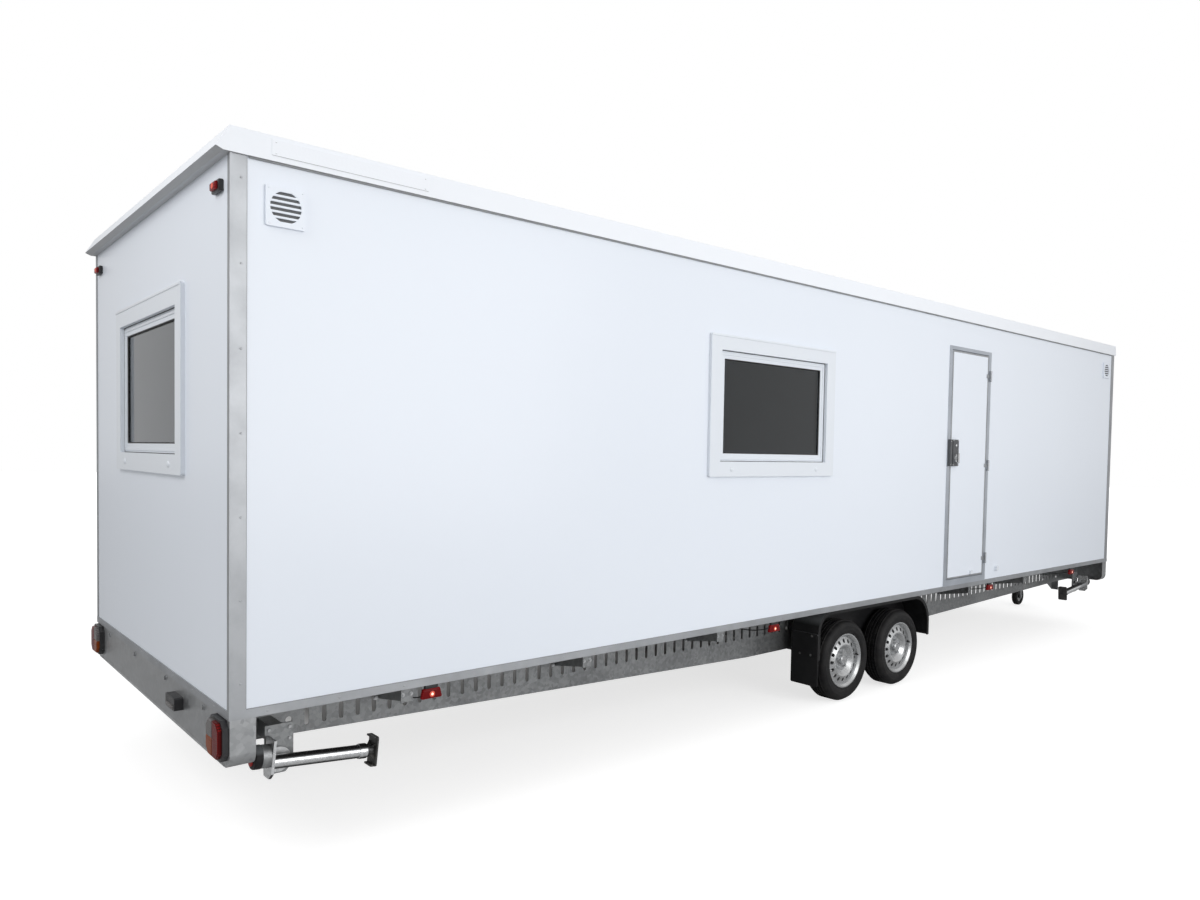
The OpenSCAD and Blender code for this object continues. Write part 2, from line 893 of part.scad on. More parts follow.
// Outline of a tail lamp: a rectangle with cut corners
module tail_outline(inset) {
    w = tail_w / 2 - inset;
    h = tail_h / 2 - inset;
    cut = tail_cut;
    polygon([[-w, -h + cut], [-w, h - cut], [-w + cut, h], [w - cut, h],
        [w, h - cut], [w, -h + cut], [w - cut, -h], [-w + cut, -h]]);
}

// Lamp housings on the rear board, and the plate lamp beside its middle
module tail_lamps() {
    color("black")
    both_sides() translate([0, -tail_y, tail_z]) plate_yz(x_rear - tail_d, tail_d) tail_outline(0);
    color("black")
    translate([0, plate_lamp_y, plate_lamp_z]) plate_yz(x_rear - plate_lamp.z, plate_lamp.z)
        round_rect(plate_lamp.x, plate_lamp.y, lamp_corner_r);
}

module tail_lamp_lenses() {
    color("firebrick")
    both_sides() translate([0, -tail_y, tail_z]) plate_yz(x_rear - tail_d - tail_lens_t, tail_lens_t)
        tail_outline(tail_lens_in);
}

// Small lamps at the top of the rear wall and under the bottom rail along both sides
module marker_lamps() {
    side_xs = [x_rear + marker_end, guard_x0 - marker_rear, guard_x1 + marker_front, x_front - marker_end];
    color("firebrick")
    both_sides() {
        translate([0, -half_w + top_marker_in, z_eaves - top_marker_drop])
            plate_yz(x_rear - top_marker.z, top_marker.z)
                round_rect(top_marker.x, top_marker.y, lamp_corner_r);
        for (i = [0 : len(side_xs) - 1]) {
            lamp = i == 0 ? side_marker_big : side_marker;
            translate([side_xs[i], 0, z_under - lamp.y / 2]) plate_xz(-half_w, lamp.z)
                round_rect(lamp.x, lamp.y, lamp_corner_r);
        }
    }
}

// Two arms that run from under the beams to the coupling
module drawbar() {
    color("gray")
    both_sides() translate([0, 0, arm_top - arm_h]) linear_extrude(arm_h) polygon([
        [arm_x0, -arm_y0 - arm_w / 2], [arm_x1, -arm_y1 - arm_w / 2],
        [arm_x1, -arm_y1 + arm_w / 2], [arm_x0, -arm_y0 + arm_w / 2]]);
}

// Coupling plate on the arms, drawtube and towing eye
module towing_eye() {
    plate_z = arm_top + coupling_plate.z;
    tube_x0 = arm_x1 - coupling_rib.x;
    color("dimgray")
    difference() {
        union() {
            box([arm_x1 - coupling_plate.x, arm_x1], [-coupling_plate.y / 2, coupling_plate.y / 2],
                [arm_top, plate_z]);
            box([tube_x0, arm_x1], [-coupling_rib.y / 2, coupling_rib.y / 2], [arm_mid_z, plate_z]);
            translate([tube_x0, 0, arm_mid_z]) rotate([0, 90, 0])
                cylinder(d = drawtube_d, h = eye_x - (eye_r + eye_d / 2) / 2 - tube_x0);
            translate([eye_x, 0, arm_mid_z - eye_t / 2]) cylinder(r = eye_r, h = eye_t);
        }
        translate([eye_x, 0, arm_mid_z - eye_t]) cylinder(d = eye_d, h = 2 * eye_t);
    }
}

// Bar across the drawbar arms with the clamp and the outer tube of the jockey wheel
module jockey_post() {
    bar_x = [jockey_at - jockey_tube_r - jockey_bar_w, jockey_at - jockey_tube_r];
    bar_share = ((bar_x[0] + bar_x[1]) / 2 - arm_x0) / (arm_x1 - arm_x0);
    bar_y = arm_y0 + (arm_y1 - arm_y0) * bar_share + arm_w / 2;
    clamp_y = [-jockey_y - jockey_clamp_w / 2, -jockey_y + jockey_clamp_w / 2];
    bar_z = [arm_top, arm_top + jockey_bar_h];
    tube_l = arm_top + jockey_tube_high - jockey_tube_z0;
    color("gray")
    difference() {
        union() {
            box(bar_x, [-bar_y, bar_y], bar_z);
            box([bar_x[1], jockey_at], clamp_y, bar_z);
            translate([jockey_at, -jockey_y, jockey_tube_z0]) cylinder(r = jockey_tube_r, h = tube_l);
        }
        translate([jockey_at, -jockey_y, jockey_tube_z0 - eps])
            cylinder(r = jockey_stem_r + run_gap, h = tube_l - jockey_tube_r / 3);
    }
}

// Stem, crown and cheeks that swivel in the tube, with the wheel's pin
module jockey_fork() {
    crown_y = jockey_cheek_y + jockey_cheek_t;
    crown_top = jockey_crown_z + jockey_crown_t;
    collar_r = jockey_tube_r + jockey_cheek_t;
    color("gray")
    translate([jockey_at, -jockey_y, 0]) {
        translate([0, 0, jockey_crown_z]) {
            cylinder(r = jockey_stem_r, h = arm_top + jockey_stem_high - jockey_crown_z);
            cylinder(r = collar_r, h = jockey_tube_z0 - 1 - jockey_crown_z);
        }
        box([-jockey_trail - jockey_cheek_w * 3 / 4, collar_r], [-crown_y, crown_y],
            [jockey_crown_z, crown_top]);
        for (y = [-crown_y, jockey_cheek_y]) plate_xz(y, jockey_cheek_t) {
            translate([-jockey_trail, jockey_d / 2]) circle(d = jockey_cheek_w);
            translate([-jockey_trail - jockey_cheek_w / 2, jockey_d / 2])
                square([jockey_cheek_w, crown_top - jockey_d / 2]);
        }
        translate([-jockey_trail, jockey_cheek_y + eps, jockey_d / 2]) rotate([90, 0, 0])
            cylinder(d = jockey_pin_d, h = 2 * jockey_cheek_y + 2 * eps);
    }
}

module jockey_wheel() {
    r = jockey_d / 2;
    w = jockey_w / 2;
    color("black")
    translate([jockey_at - jockey_trail, -jockey_y, r]) rotate([90, 0, 0]) rotate_extrude() difference() {
        translate([r / 2, 0]) union() {
            round_rect(r, jockey_w, jockey_w / 4);
            translate([-r / 2, -w]) square([r / 2, jockey_w]);
        }
        translate([0, -w - eps]) square([jockey_pin_d / 2 + run_gap, jockey_w + 2 * eps]);
        for (s = [-1, 1]) translate([r / 4, s * w - w * 0.4]) square([r * 0.4, w * 0.8]);
    }
}

// Places the children at a leg's pivot: end 0 rear or 1 front, side 0 right or 1 left.
// There, +X runs along the stowed leg towards its foot and -Y points outwards.
module at_leg(end, side) {
    x = end == 0 ? x_rear + leg_in_rear : x_front - leg_in_front;
    y = side == 0 ? -leg_y : leg_y;
    translate([x, y, leg_z]) mirror_if(end == 1, [1, 0, 0]) mirror_if(side == 1, [0, 1, 0]) children();
}

// Brackets on the beam webs that hold the legs' pivots
module leg_mounts() {
    y0 = leg_plate_y + run_gap;
    web = beam_in - leg_side_in;
    color("gray")
    for (end = [0, 1], side = [0, 1]) at_leg(end, side) {
        plate_xz(y0, mount_t) polygon([
            [-mount_back, mount_high], [-mount_back, -mount_low + mount_cut],
            [-mount_back + mount_cut, -mount_low], [mount_ahead - mount_cut, -mount_low],
            [mount_ahead, -mount_low + mount_cut], [mount_ahead, mount_high]]);
        box([-mount_arm_w / 2, mount_arm_w / 2], [y0, web], mount_arm_z);
        translate([0, y0 + eps, 0]) rotate([90, 0, 0]) cylinder(d = leg_pin_d, h = leg_pin_l + eps);
    }
}

// Outer tube with its swivel flange, end plate and the round head of its lifting screw
module leg_tube(end, side) {
    color("lightgray")
    at_leg(end, side) difference() {
        union() {
            rotate([0, 90 + leg_droop, 0]) {
                translate([0, 0, -leg_back]) cylinder(d = leg_od, h = leg_back + leg_len - leg_sleeve_short);
                translate([-leg_cap_up, -leg_cap_out, -leg_back - leg_cap_l])
                    cylinder(d = leg_cap_d, h = leg_cap_l + eps);
            }
            translate([0, leg_plate_y, 0]) rotate([90, 0, 0])
                cylinder(d = leg_hub_d, h = leg_plate_y - leg_hub_y);
            rotate([0, leg_droop, 0]) plate_yz(-leg_back, stop_plate_t) polygon([
                [-stop_plate_out + stop_plate_cut, -stop_plate_low],
                [leg_od / 2 - stop_plate_edge, -stop_plate_low],
                [leg_od / 2, -stop_plate_low + stop_plate_cut], [leg_od / 2, stop_plate_high],
                [-stop_plate_out, stop_plate_high], [-stop_plate_out, -stop_plate_low + stop_plate_cut]]);
        }
        rotate([0, 90 + leg_droop, 0]) cylinder(d = leg_id + 2 * run_gap, h = leg_len);
        translate([0, leg_plate_y + eps, 0]) rotate([90, 0, 0])
            cylinder(d = leg_pin_d + 2 * run_gap, h = leg_pin_l + 2 * eps);
    }
}

// Inner tube with the foot plate, which slides out of the outer tube
module leg_foot(end, side) {
    color("darkslategray")
    at_leg(end, side) rotate([0, leg_droop, 0]) {
        rotate([0, 90, 0]) translate([0, 0, leg_bore_start]) difference() {
            cylinder(d = leg_id, h = leg_len - leg_bore_start - foot_t / 2);
            translate([0, 0, -eps])
                cylinder(d = leg_id - 2 * leg_id_wall, h = leg_len - 3 * leg_bore_start);
        }
        plate_yz(leg_len - foot_t, foot_t) round_rect(foot_w, foot_l, foot_corner_r);
        for (z = [-foot_l / 2, foot_l / 2 - foot_t]) box([leg_len - foot_lip, leg_len],
            [-foot_w / 2 + foot_corner_r, foot_w / 2 - foot_corner_r], [z, z + foot_t]);
    }
}

// Places the children, drawn about a wheel's axis with the outer side at +Z
module at_wheel(end, side) {
    x = end == 0 ? wheel_x_rear : wheel_x_front;
    y = side == 0 ? -wheel_y : wheel_y;
    translate([x, y, wheel_z]) rotate([side == 0 ? 90 : -90, 0, 0]) children();
}

// Tyre ring with round shoulders and grooves round the tread
module tyre(end, side) {
    r0 = rim_d / 2 + run_gap;
    r1 = tyre_d / 2;
    groove = tyre_groove;
    color("black")
    at_wheel(end, side) rotate_extrude($fn = 96) difference() {
        union() {
            translate([(r0 + r1) / 2, 0]) round_rect(r1 - r0, tyre_w, tyre_shoulder_r);
            translate([r0, -rim_w / 2 + 2]) square([tyre_shoulder_r, rim_w - 4]);
        }
        for (s = [-1.5, -0.5, 0.5, 1.5]) translate([r1 - groove + eps, s * tyre_w / 5.4 - groove / 2])
            square([groove, groove]);
    }
}

// Pressed steel rim in one outline: barrel with flanges and a drop centre, dished disc and hub
// drum. A ring of openings goes through the disc's edge and the stub axle into the hub.
module rim(end, side) {
    r = rim_d / 2;
    w = rim_w / 2;
    seat_in = r - rim_seat - rim_sheet;
    well_in = r - rim_well - rim_sheet;
    ring = r - rim_well;
    hub_z = -tyre_w / 2 + rim_lip;
    face_z = rim_face[0].y;
    bends = len(rim_face) - 1;
    reach = (rim_hole_l - rim_hole_w) / 2;
    color("silver")
    at_wheel(end, side) difference() {
        rotate_extrude($fn = 96) polygon(concat(
            [[r, w], [r, w - rim_lip], [r - rim_seat, w - 2 * rim_lip], [r - rim_seat, rim_ramp_w],
            [r - rim_well, rim_well_w], [r - rim_well, -rim_well_w], [r - rim_seat, -rim_ramp_w],
            [r - rim_seat, -w + 2 * rim_lip], [r, -w + rim_lip], [r, -w], [r - rim_sheet, -w],
            [seat_in, -w + 2 * rim_lip], [seat_in, -rim_ramp_w], [well_in, -rim_well_w],
            [well_in, rim_well_w], [seat_in, rim_ramp_w], [seat_in, rim_root_z[0]]],
            [for (i = [bends : -1 : 1]) [ring - rim_face[i].x, rim_face[i].y - rim_disc_t]],
            [[hub_drum_r, face_z], [hub_drum_r, hub_z], [0, hub_z], [0, hub_face_z],
            [hub_cap_r - hub_bevel, hub_face_z], [hub_cap_r, hub_face_z - hub_bevel], [hub_cap_r, face_z]],
            [for (p = rim_face) [ring - p.x, p.y]],
            [[seat_in, rim_root_z[1]], [seat_in, w - 2 * rim_lip], [r - rim_sheet, w]]));
        for (i = [0 : rim_holes - 1]) rotate([0, 0, i * 360 / rim_holes])
            translate([ring - rim_hole_in, 0, 0]) linear_extrude(w) {
                square([2 * reach, rim_hole_w], center = true);
                for (s = [-1, 1]) translate([s * reach, 0]) circle(d = rim_hole_w, $fn = 16);
            }
        translate([0, 0, -tyre_w]) cylinder(d = stub_d + 2 * run_gap, h = tyre_w + face_z + hub_bevel);
    }
}

floor_panel();
rear_wall();
front_wall();
left_wall();
right_wall_rear();
right_wall_front();
right_wall_lintel();
roof_panel();
roof_cap();
corner_trims();
bottom_rail();
door_frame();
door_hinges();
door_leaf();
door_hinge_straps();
door_lock();
door_handle();
door_strike();
door_clip();
wall_catch();
window_frames();
window_sashes();
window_panes();
vent_grilles();
main_beams();
cross_members();
axles();
mudguards();
mud_flaps();
end_boards();
tail_lamps();
tail_lamp_lenses();
marker_lamps();
drawbar();
towing_eye();
jockey_post();
jockey_fork();
jockey_wheel();
leg_mounts();
leg_tube(0, 0);  // leg_tube_rear_right
leg_tube(0, 1);  // leg_tube_rear_left
leg_tube(1, 0);  // leg_tube_front_right
leg_tube(1, 1);  // leg_tube_front_left
leg_foot(0, 0);  // leg_foot_rear_right
leg_foot(0, 1);  // leg_foot_rear_left
leg_foot(1, 0);  // leg_foot_front_right
leg_foot(1, 1);  // leg_foot_front_left
tyre(0, 0);  // tyre_rear_right
tyre(0, 1);  // tyre_rear_left
tyre(1, 0);  // tyre_front_right
tyre(1, 1);  // tyre_front_left
rim(0, 0);  // rim_rear_right
rim(0, 1);  // rim_rear_left
rim(1, 0);  // rim_front_right
rim(1, 1);  // rim_front_left
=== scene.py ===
import math
import bmesh
import bpy
from mathutils import Matrix, Vector


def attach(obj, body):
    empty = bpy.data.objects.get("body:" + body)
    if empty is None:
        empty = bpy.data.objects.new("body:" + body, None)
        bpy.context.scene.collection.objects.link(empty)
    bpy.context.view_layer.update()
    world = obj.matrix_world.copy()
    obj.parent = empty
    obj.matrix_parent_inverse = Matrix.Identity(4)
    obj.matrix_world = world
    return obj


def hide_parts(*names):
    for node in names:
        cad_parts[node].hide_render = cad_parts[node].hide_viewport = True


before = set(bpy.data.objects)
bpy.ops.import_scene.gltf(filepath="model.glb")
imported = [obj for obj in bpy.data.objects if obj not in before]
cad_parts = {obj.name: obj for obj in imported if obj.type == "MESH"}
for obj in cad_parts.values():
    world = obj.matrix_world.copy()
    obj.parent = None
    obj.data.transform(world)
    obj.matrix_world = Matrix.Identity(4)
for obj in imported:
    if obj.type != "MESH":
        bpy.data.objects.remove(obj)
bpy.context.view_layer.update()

# Chassis: two tapered channel beams with a row of slots, cross bars and outriggers. Cold-formed
# steel plate, bolted together, and dipped in hot zinc that sets in a pattern of crystals.
BEAM_WEB_Y = 0.955
UNDERSIDE_Z = 0.699
OUTRIGGER_XS, OUTRIGGER_TIP_Y = (-4.590, -3.494, -2.398, 0.890, 1.986, 3.082), 1.241
OUTRIGGER_BOLT_SHIFT, WEB_BOLT_DROPS, TIP_BOLT_DROP = 0.021, (0.014, 0.112), 0.036
ZINC_METALLIC, CRYSTAL_DEPTH = 0.85, 0.0002


def put(tree, kind, sockets=None, **settings):
    """A new node. A socket takes a number, a colour or the output that feeds it."""
    made = tree.nodes.new(kind)
    for name, value in settings.items():
        setattr(made, name, value)
    for name, value in (sockets or {}).items():
        if isinstance(value, bpy.types.NodeSocket):
            tree.links.new(value, made.inputs[name])
        else:
            made.inputs[name].default_value = value
    return made


def own_place(tree):
    """Where a point lies in its own object, in metres."""
    return put(tree, "ShaderNodeTexCoord").outputs["Object"]


def noise(tree, place, per_metre, detail, **more):
    """A cloudy pattern of values from 0 to 1."""
    sockets = {"Vector": place, "Scale": per_metre, "Detail": detail, **more}
    return put(tree, "ShaderNodeTexNoise", sockets).outputs[0]


def blend_colours(tree, share, first, second):
    """The colour between two others, by a share from 0 to 1."""
    return put(tree, "ShaderNodeMix", {0: share, 6: first, 7: second}, data_type="RGBA").outputs[2]


def rescale(tree, value, low, high, new_low, new_high):
    """A value moved from one range to another, and kept inside it."""
    return put(tree, "ShaderNodeMapRange", {"Value": value, "From Min": low, "From Max": high,
                                            "To Min": new_low, "To Max": new_high}).outputs[0]


def reckon(tree, operation, first, second):
    """The result of one sum on two values."""
    return put(tree, "ShaderNodeMath", {0: first, 1: second}, operation=operation).outputs[0]


def new_effect(name, takes, gives):
    """An empty shader node group with named sockets, and its two end nodes."""
    group = bpy.data.node_groups.new(name, "ShaderNodeTree")
    for label, value in takes.items():
        kind = "NodeSocketFloat" if isinstance(value, float) else "NodeSocketColor"
        group.interface.new_socket(label, in_out="INPUT", socket_type=kind).default_value = value
    for label, kind in gives.items():
        group.interface.new_socket(label, in_out="OUTPUT", socket_type="NodeSocket" + kind)
    return group, group.nodes.new("NodeGroupInput").outputs, group.nodes.new("NodeGroupOutput").inputs


def new_finish(name, colour, roughness, metallic=0.0):
    """A material with one principled shader: the material, its nodes and the shader's sockets."""
    made = bpy.data.materials.new(name)
    made.use_nodes = True
    sockets = made.node_tree.nodes["Principled BSDF"].inputs
    sockets["Base Color"].default_value = (*colour, 1)
    sockets["Roughness"].default_value = roughness
    sockets["Metallic"].default_value = metallic
    return made, made.node_tree, sockets


def emboss(tree, sockets, height, depth):
    """Lets a height in the range 0 to 1 stand out of the surface by depth in metres."""
    bump = put(tree, "ShaderNodeBump", {"Height": height, "Distance": depth})
    tree.links.new(bump.outputs["Normal"], sockets["Normal"])


def coat(finish, *nodes):
    """Gives a finish to nodes of the frame."""
    for name in nodes:
        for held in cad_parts[name].material_slots:
            held.material = finish


def set_piece(name, bm, finishes, body, place=Matrix(), crease=35):
    """Makes a piece of a closed mesh at its place, smooth between creases, and lets it ride."""
    bmesh.ops.transform(bm, matrix=place, verts=bm.verts)
    bmesh.ops.recalc_face_normals(bm, faces=bm.faces)
    mesh = bpy.data.meshes.new(name)
    bm.to_mesh(mesh)
    bm.free()
    for finish in finishes:
        mesh.materials.append(finish)
    mesh.polygons.foreach_set("use_smooth", [True] * len(mesh.polygons))
    mesh.set_sharp_from_angle(angle=math.radians(crease))
    piece = bpy.data.objects.new(name, mesh)
    bpy.context.scene.collection.objects.link(piece)
    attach(piece, body)
    return piece


def facing(at, out):
    """The place of something whose own Z axis points out from a spot on a surface."""
    return Matrix.Translation(at) @ Vector(out).to_track_quat("Z", "Y").to_matrix().to_4x4()


def peg(bm, at, out, low_r, high_r, height, sides=16):
    """A round peg that stands on a spot and narrows from one radius to another."""
    place = facing(at, out) @ Matrix.Translation((0, 0, height / 2))
    return bmesh.ops.create_cone(bm, cap_ends=True, segments=sides, radius1=low_r, radius2=high_r,
                                 depth=height, matrix=place)


def bolt(bm, at, out, across, height):
    """A hexagon head on its washer."""
    peg(bm, at, out, across * 0.78, across * 0.76, height * 0.22)
    peg(bm, at, out, across * 0.57, across * 0.54, height, sides=6)


zinc, zin, zout = new_effect(
    "zinc_crystals",
    {"Dark": (0.2, 0.21, 0.22, 1), "Light": (0.5, 0.52, 0.53, 1), "Per metre": 55.0,
     "Bright": 0.3, "Dull": 0.55},
    {"Color": "Color", "Roughness": "Float", "Height": "Float"})
spot = own_place(zinc)
crystal = put(zinc, "ShaderNodeTexVoronoi", {"Vector": spot, "Scale": zin["Per metre"]})
flake = put(zinc, "ShaderNodeSeparateColor", {"Color": crystal.outputs["Color"]}).outputs["Red"]
patch = rescale(zinc, noise(zinc, spot, 2.3, 5.0), 0.35, 0.68, 0.0, 1.0)
share = reckon(zinc, "ADD", reckon(zinc, "MULTIPLY", flake, 0.55), reckon(zinc, "MULTIPLY", patch, 0.45))
zinc.links.new(blend_colours(zinc, share, zin["Dark"], zin["Light"]), zout["Color"])
zinc.links.new(rescale(zinc, share, 0.0, 1.0, zin["Bright"], zin["Dull"]), zout["Roughness"])
zinc.links.new(flake, zout["Height"])


def zinc_finish(name, dark, light, per_metre, bright, dull):
    """Hot-dipped zinc between two tones, and between two degrees of gloss."""
    made, tree, sockets = new_finish(name, light, dull, ZINC_METALLIC)
    crystals = put(tree, "ShaderNodeGroup", {"Dark": (*dark, 1), "Light": (*light, 1),
                                             "Per metre": per_metre, "Bright": bright, "Dull": dull},
                   node_tree=zinc).outputs
    tree.links.new(crystals["Color"], sockets["Base Color"])
    tree.links.new(crystals["Roughness"], sockets["Roughness"])
    emboss(tree, sockets, crystals["Height"], CRYSTAL_DEPTH)
    return made


galvanised = zinc_finish("galvanised_frame", (0.19, 0.195, 0.20), (0.35, 0.36, 0.365), 60.0, 0.34, 0.56)
bolt_zinc = zinc_finish("bolt_zinc", (0.40, 0.41, 0.42), (0.56, 0.57, 0.58), 240.0, 0.25, 0.40)
coat(galvanised, "main_beams", "cross_members")

bm = bmesh.new()
for x in OUTRIGGER_XS:
    for side in (-1, 1):
        for bolt_x in (x - OUTRIGGER_BOLT_SHIFT, x + OUTRIGGER_BOLT_SHIFT):
            for drop in WEB_BOLT_DROPS:
                bolt(bm, (bolt_x, side * BEAM_WEB_Y, UNDERSIDE_Z - drop), (0, side, 0), 0.017, 0.011)
            bolt(bm, (bolt_x, side * OUTRIGGER_TIP_Y, UNDERSIDE_Z - TIP_BOLT_DROP), (0, side, 0),
                 0.013, 0.006)
set_piece("outrigger_bolts", bm, [bolt_zinc], "cabin")

# Axles: two square tubes with rubber springing inside, clamped under the beams, with a trailing
# arm and a stub at each end. Zinc-dipped, and dull from the road.
SEAT_XS, SEAT_Y, SEAT_Z, SEAT_BOLT_SHIFT = (-0.8225, -0.0875), 0.9225, 0.384, 0.085
axle_zinc = zinc_finish("axle_zinc", (0.13, 0.13, 0.13), (0.25, 0.25, 0.25), 45.0, 0.45, 0.7)
coat(axle_zinc, "axles")
bm = bmesh.new()
for x in SEAT_XS:
    for side in (-1, 1):
        for bolt_x in (x - SEAT_BOLT_SHIFT, x + SEAT_BOLT_SHIFT):
            bolt(bm, (bolt_x, side * SEAT_Y, SEAT_Z), (0, 0, -1), 0.024, 0.016)
set_piece("axle_seat_bolts", bm, [bolt_zinc], "cabin")

# Wheels: silver-painted pressed steel rims on five bolts, with a cap over the bearing, and radial
# van tyres with four grooves, blocks across the tread and plain ribbed sidewalls.
WHEELS = {(end, side): (x, y) for end, x in (("rear", -0.9925), ("front", -0.2575))
          for side, y in (("right", -1.153), ("left", 1.153))}
AXLE_Z = 0.300
WHEEL_BOLTS, BOLT_CIRCLE_R, BOWL_Z = 5, 0.058, 0.044
TREAD_R, GROOVE_R, BLOCK_EDGE, BLOCK_RISE = 0.294, 0.287, 0.0022, 0.0055
TYRE_SIDE = [(0.2006, 0.0600), (0.2006, 0.0790), (0.2045, 0.0855), (0.2090, 0.0880), (0.2140, 0.0875),
             (0.2170, 0.0908), (0.2280, 0.0938), (0.2420, 0.0949), (0.2540, 0.0942), (0.2570, 0.0948),
             (0.2600, 0.0930), (0.2720, 0.0888), (0.2820, 0.0815), (0.2885, 0.0725), (0.2920, 0.0650)]
TYRE_TREAD = [(TREAD_R, 0.056), (TREAD_R, 0.047), (GROOVE_R, 0.047), (GROOVE_R, 0.039), (TREAD_R, 0.039),
              (TREAD_R, 0.017), (GROOVE_R, 0.017), (GROOVE_R, 0.009), (TREAD_R, 0.009)]
BEARING_CAP = [(0, 0.0425), (0.010, 0.0422), (0.022, 0.0405), (0.030, 0.0365), (0.0342, 0.0290),
               (0.0352, 0.0200), (0.0352, 0.0010), (0, 0.0010)]
BEARING_CAP_Z = BOWL_Z - 0.014
VALVE_LEAN = (-0.35, 0, 1)
ROAD_DUST, DUST_MATT = (0.30, 0.28, 0.25), 0.85


def turned(bm, outline, steps, closed=False):
    """Spins an outline of radius and height about the Z axis."""
    corners = [bm.verts.new((r, 0, z)) for r, z in outline]
    ends = corners[1:] + (corners[:1] if closed else [])
    lines = [bm.edges.new(pair) for pair in zip(corners, ends)]
    bmesh.ops.spin(bm, geom=corners + lines, cent=(0, 0, 0), axis=(0, 0, 1), angle=2 * math.pi,
                   steps=steps, use_merge=True)
    bmesh.ops.remove_doubles(bm, verts=bm.verts, dist=1e-6)
    bmesh.ops.recalc_face_normals(bm, faces=bm.faces)


dust, din, dout = new_effect(
    "road_dust",
    {"Clean": (0.5, 0.5, 0.5, 1), "Dust": (*ROAD_DUST, 1), "Amount": 0.5, "Top": 0.6,
     "Gloss": 0.3, "Matt": DUST_MATT},
    {"Color": "Color", "Roughness": "Float"})
spot = own_place(dust)
height = put(dust, "ShaderNodeSeparateXYZ", {0: spot}).outputs["Z"]
low = reckon(dust, "SUBTRACT", 1.0, reckon(dust, "DIVIDE", height, din["Top"]))
speck = rescale(dust, noise(dust, spot, 14.0, 8.0, Roughness=0.65), 0.38, 0.7, 0.0, 1.0)
cover = reckon(dust, "MULTIPLY", low, reckon(dust, "MULTIPLY", speck, din["Amount"]))
mask = rescale(dust, cover, 0.0, 1.0, 0.0, 1.0)
dust.links.new(blend_colours(dust, mask, din["Clean"], din["Dust"]), dout["Color"])
dust.links.new(rescale(dust, mask, 0.0, 1.0, din["Gloss"], din["Matt"]), dout["Roughness"])


def dusty_finish(name, colour, gloss, amount, top, metallic=0.0, pores=None):
    """A finish under road dust that fades with height. Pores have a count per metre, detail and depth."""
    made, tree, sockets = new_finish(name, colour, gloss, metallic)
    film = put(tree, "ShaderNodeGroup", {"Clean": (*colour, 1), "Dust": (*ROAD_DUST, 1), "Amount": amount,
                                         "Top": top, "Gloss": gloss, "Matt": DUST_MATT},
               node_tree=dust).outputs
    tree.links.new(film["Color"], sockets["Base Color"])
    tree.links.new(film["Roughness"], sockets["Roughness"])
    if pores:
        per_metre, detail, depth = pores
        emboss(tree, sockets, noise(tree, own_place(tree), per_metre, detail), depth)
    return made


rim_silver = dusty_finish("rim_silver", (0.54, 0.55, 0.56), 0.24, 0.30, 0.9, 0.85, (900.0, 2.0, 0.00012))
cap_grey = dusty_finish("bearing_cap_grey", (0.40, 0.41, 0.42), 0.32, 0.35, 0.9, 0.7)
rubber = dusty_finish("tyre_rubber", (0.007, 0.007, 0.008), 0.56, 0.05, 3.0, pores=(420.0, 4.0, 0.0004))
rubber.node_tree.nodes["Principled BSDF"].inputs["Specular IOR Level"].default_value = 0.2
coat(rim_silver, *[f"rim_{end}_{side}" for end, side in WHEELS])

for (end, side), (x, y) in WHEELS.items():
    place = Matrix.Translation((x, y, AXLE_Z)) @ Matrix.Rotation(
        math.radians(90 if side == "right" else -90), 4, "X")
    body = f"wheel_{end}_{side}"

    bm = bmesh.new()
    half = TYRE_SIDE + TYRE_TREAD
    turned(bm, half + [(r, -z) for r, z in reversed(half)], 60, closed=True)
    ribs = [f for f in bm.faces
            if all(abs(math.hypot(v.co.x, v.co.y) - TREAD_R) < 3e-4 for v in f.verts)]
    bmesh.ops.inset_individual(bm, faces=ribs, thickness=BLOCK_EDGE, depth=BLOCK_RISE, use_even_offset=True)
    tyre = set_piece(f"moulded_tyre_{end}_{side}", bm, [rubber], body, place, crease=28)
    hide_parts(f"tyre_{end}_{side}")

    bm = bmesh.new()
    for i in range(WHEEL_BOLTS):
        a = math.radians(360 / WHEEL_BOLTS * i + 18)
        bolt(bm, (BOLT_CIRCLE_R * math.cos(a), BOLT_CIRCLE_R * math.sin(a), BOWL_Z), (0, 0, 1), 0.021, 0.017)
    set_piece(f"wheel_bolts_{end}_{side}", bm, [bolt_zinc], body, place)

    bm = bmesh.new()
    turned(bm, BEARING_CAP, 32)
    set_piece(f"bearing_cap_{end}_{side}", bm, [cap_grey], body,
              place @ Matrix.Translation((0, 0, BEARING_CAP_Z)))

    bm = bmesh.new()
    peg(bm, (0.172, 0.022, 0.056), VALVE_LEAN, 0.0062, 0.0056, 0.024, 10)
    peg(bm, (0.1645, 0.022, 0.077), VALVE_LEAN, 0.0050, 0.0046, 0.010, 10)
    set_piece(f"tyre_valve_{end}_{side}", bm, [rubber], body, place)

# Mudguards and flaps: black polythene, vacuum-formed over both wheels, with a grained surface.
# The faces that look up are paler as painted reflection, and a plain flap hangs from three bolts on the rear
# of each guard.
FLAP_FACE_X = -1.3905
FLAP_BOLTS = ((1.217, 0.530), (1.116, 0.391), (1.208, 0.391))
plastic_grain, gin, gout = new_effect("moulded_grain", {"Per metre": 500.0},
                                      {"Height": "Float", "Scuff": "Float"})
spot = own_place(plastic_grain)
grain = put(plastic_grain, "ShaderNodeTexVoronoi", {"Vector": spot, "Scale": gin["Per metre"]})
plastic_grain.links.new(grain.outputs["Distance"], gout["Height"])
rub = noise(plastic_grain, spot, 6.0, 9.0, Roughness=0.7)
plastic_grain.links.new(rescale(plastic_grain, rub, 0.42, 0.66, 0.0, 1.0), gout["Scuff"])


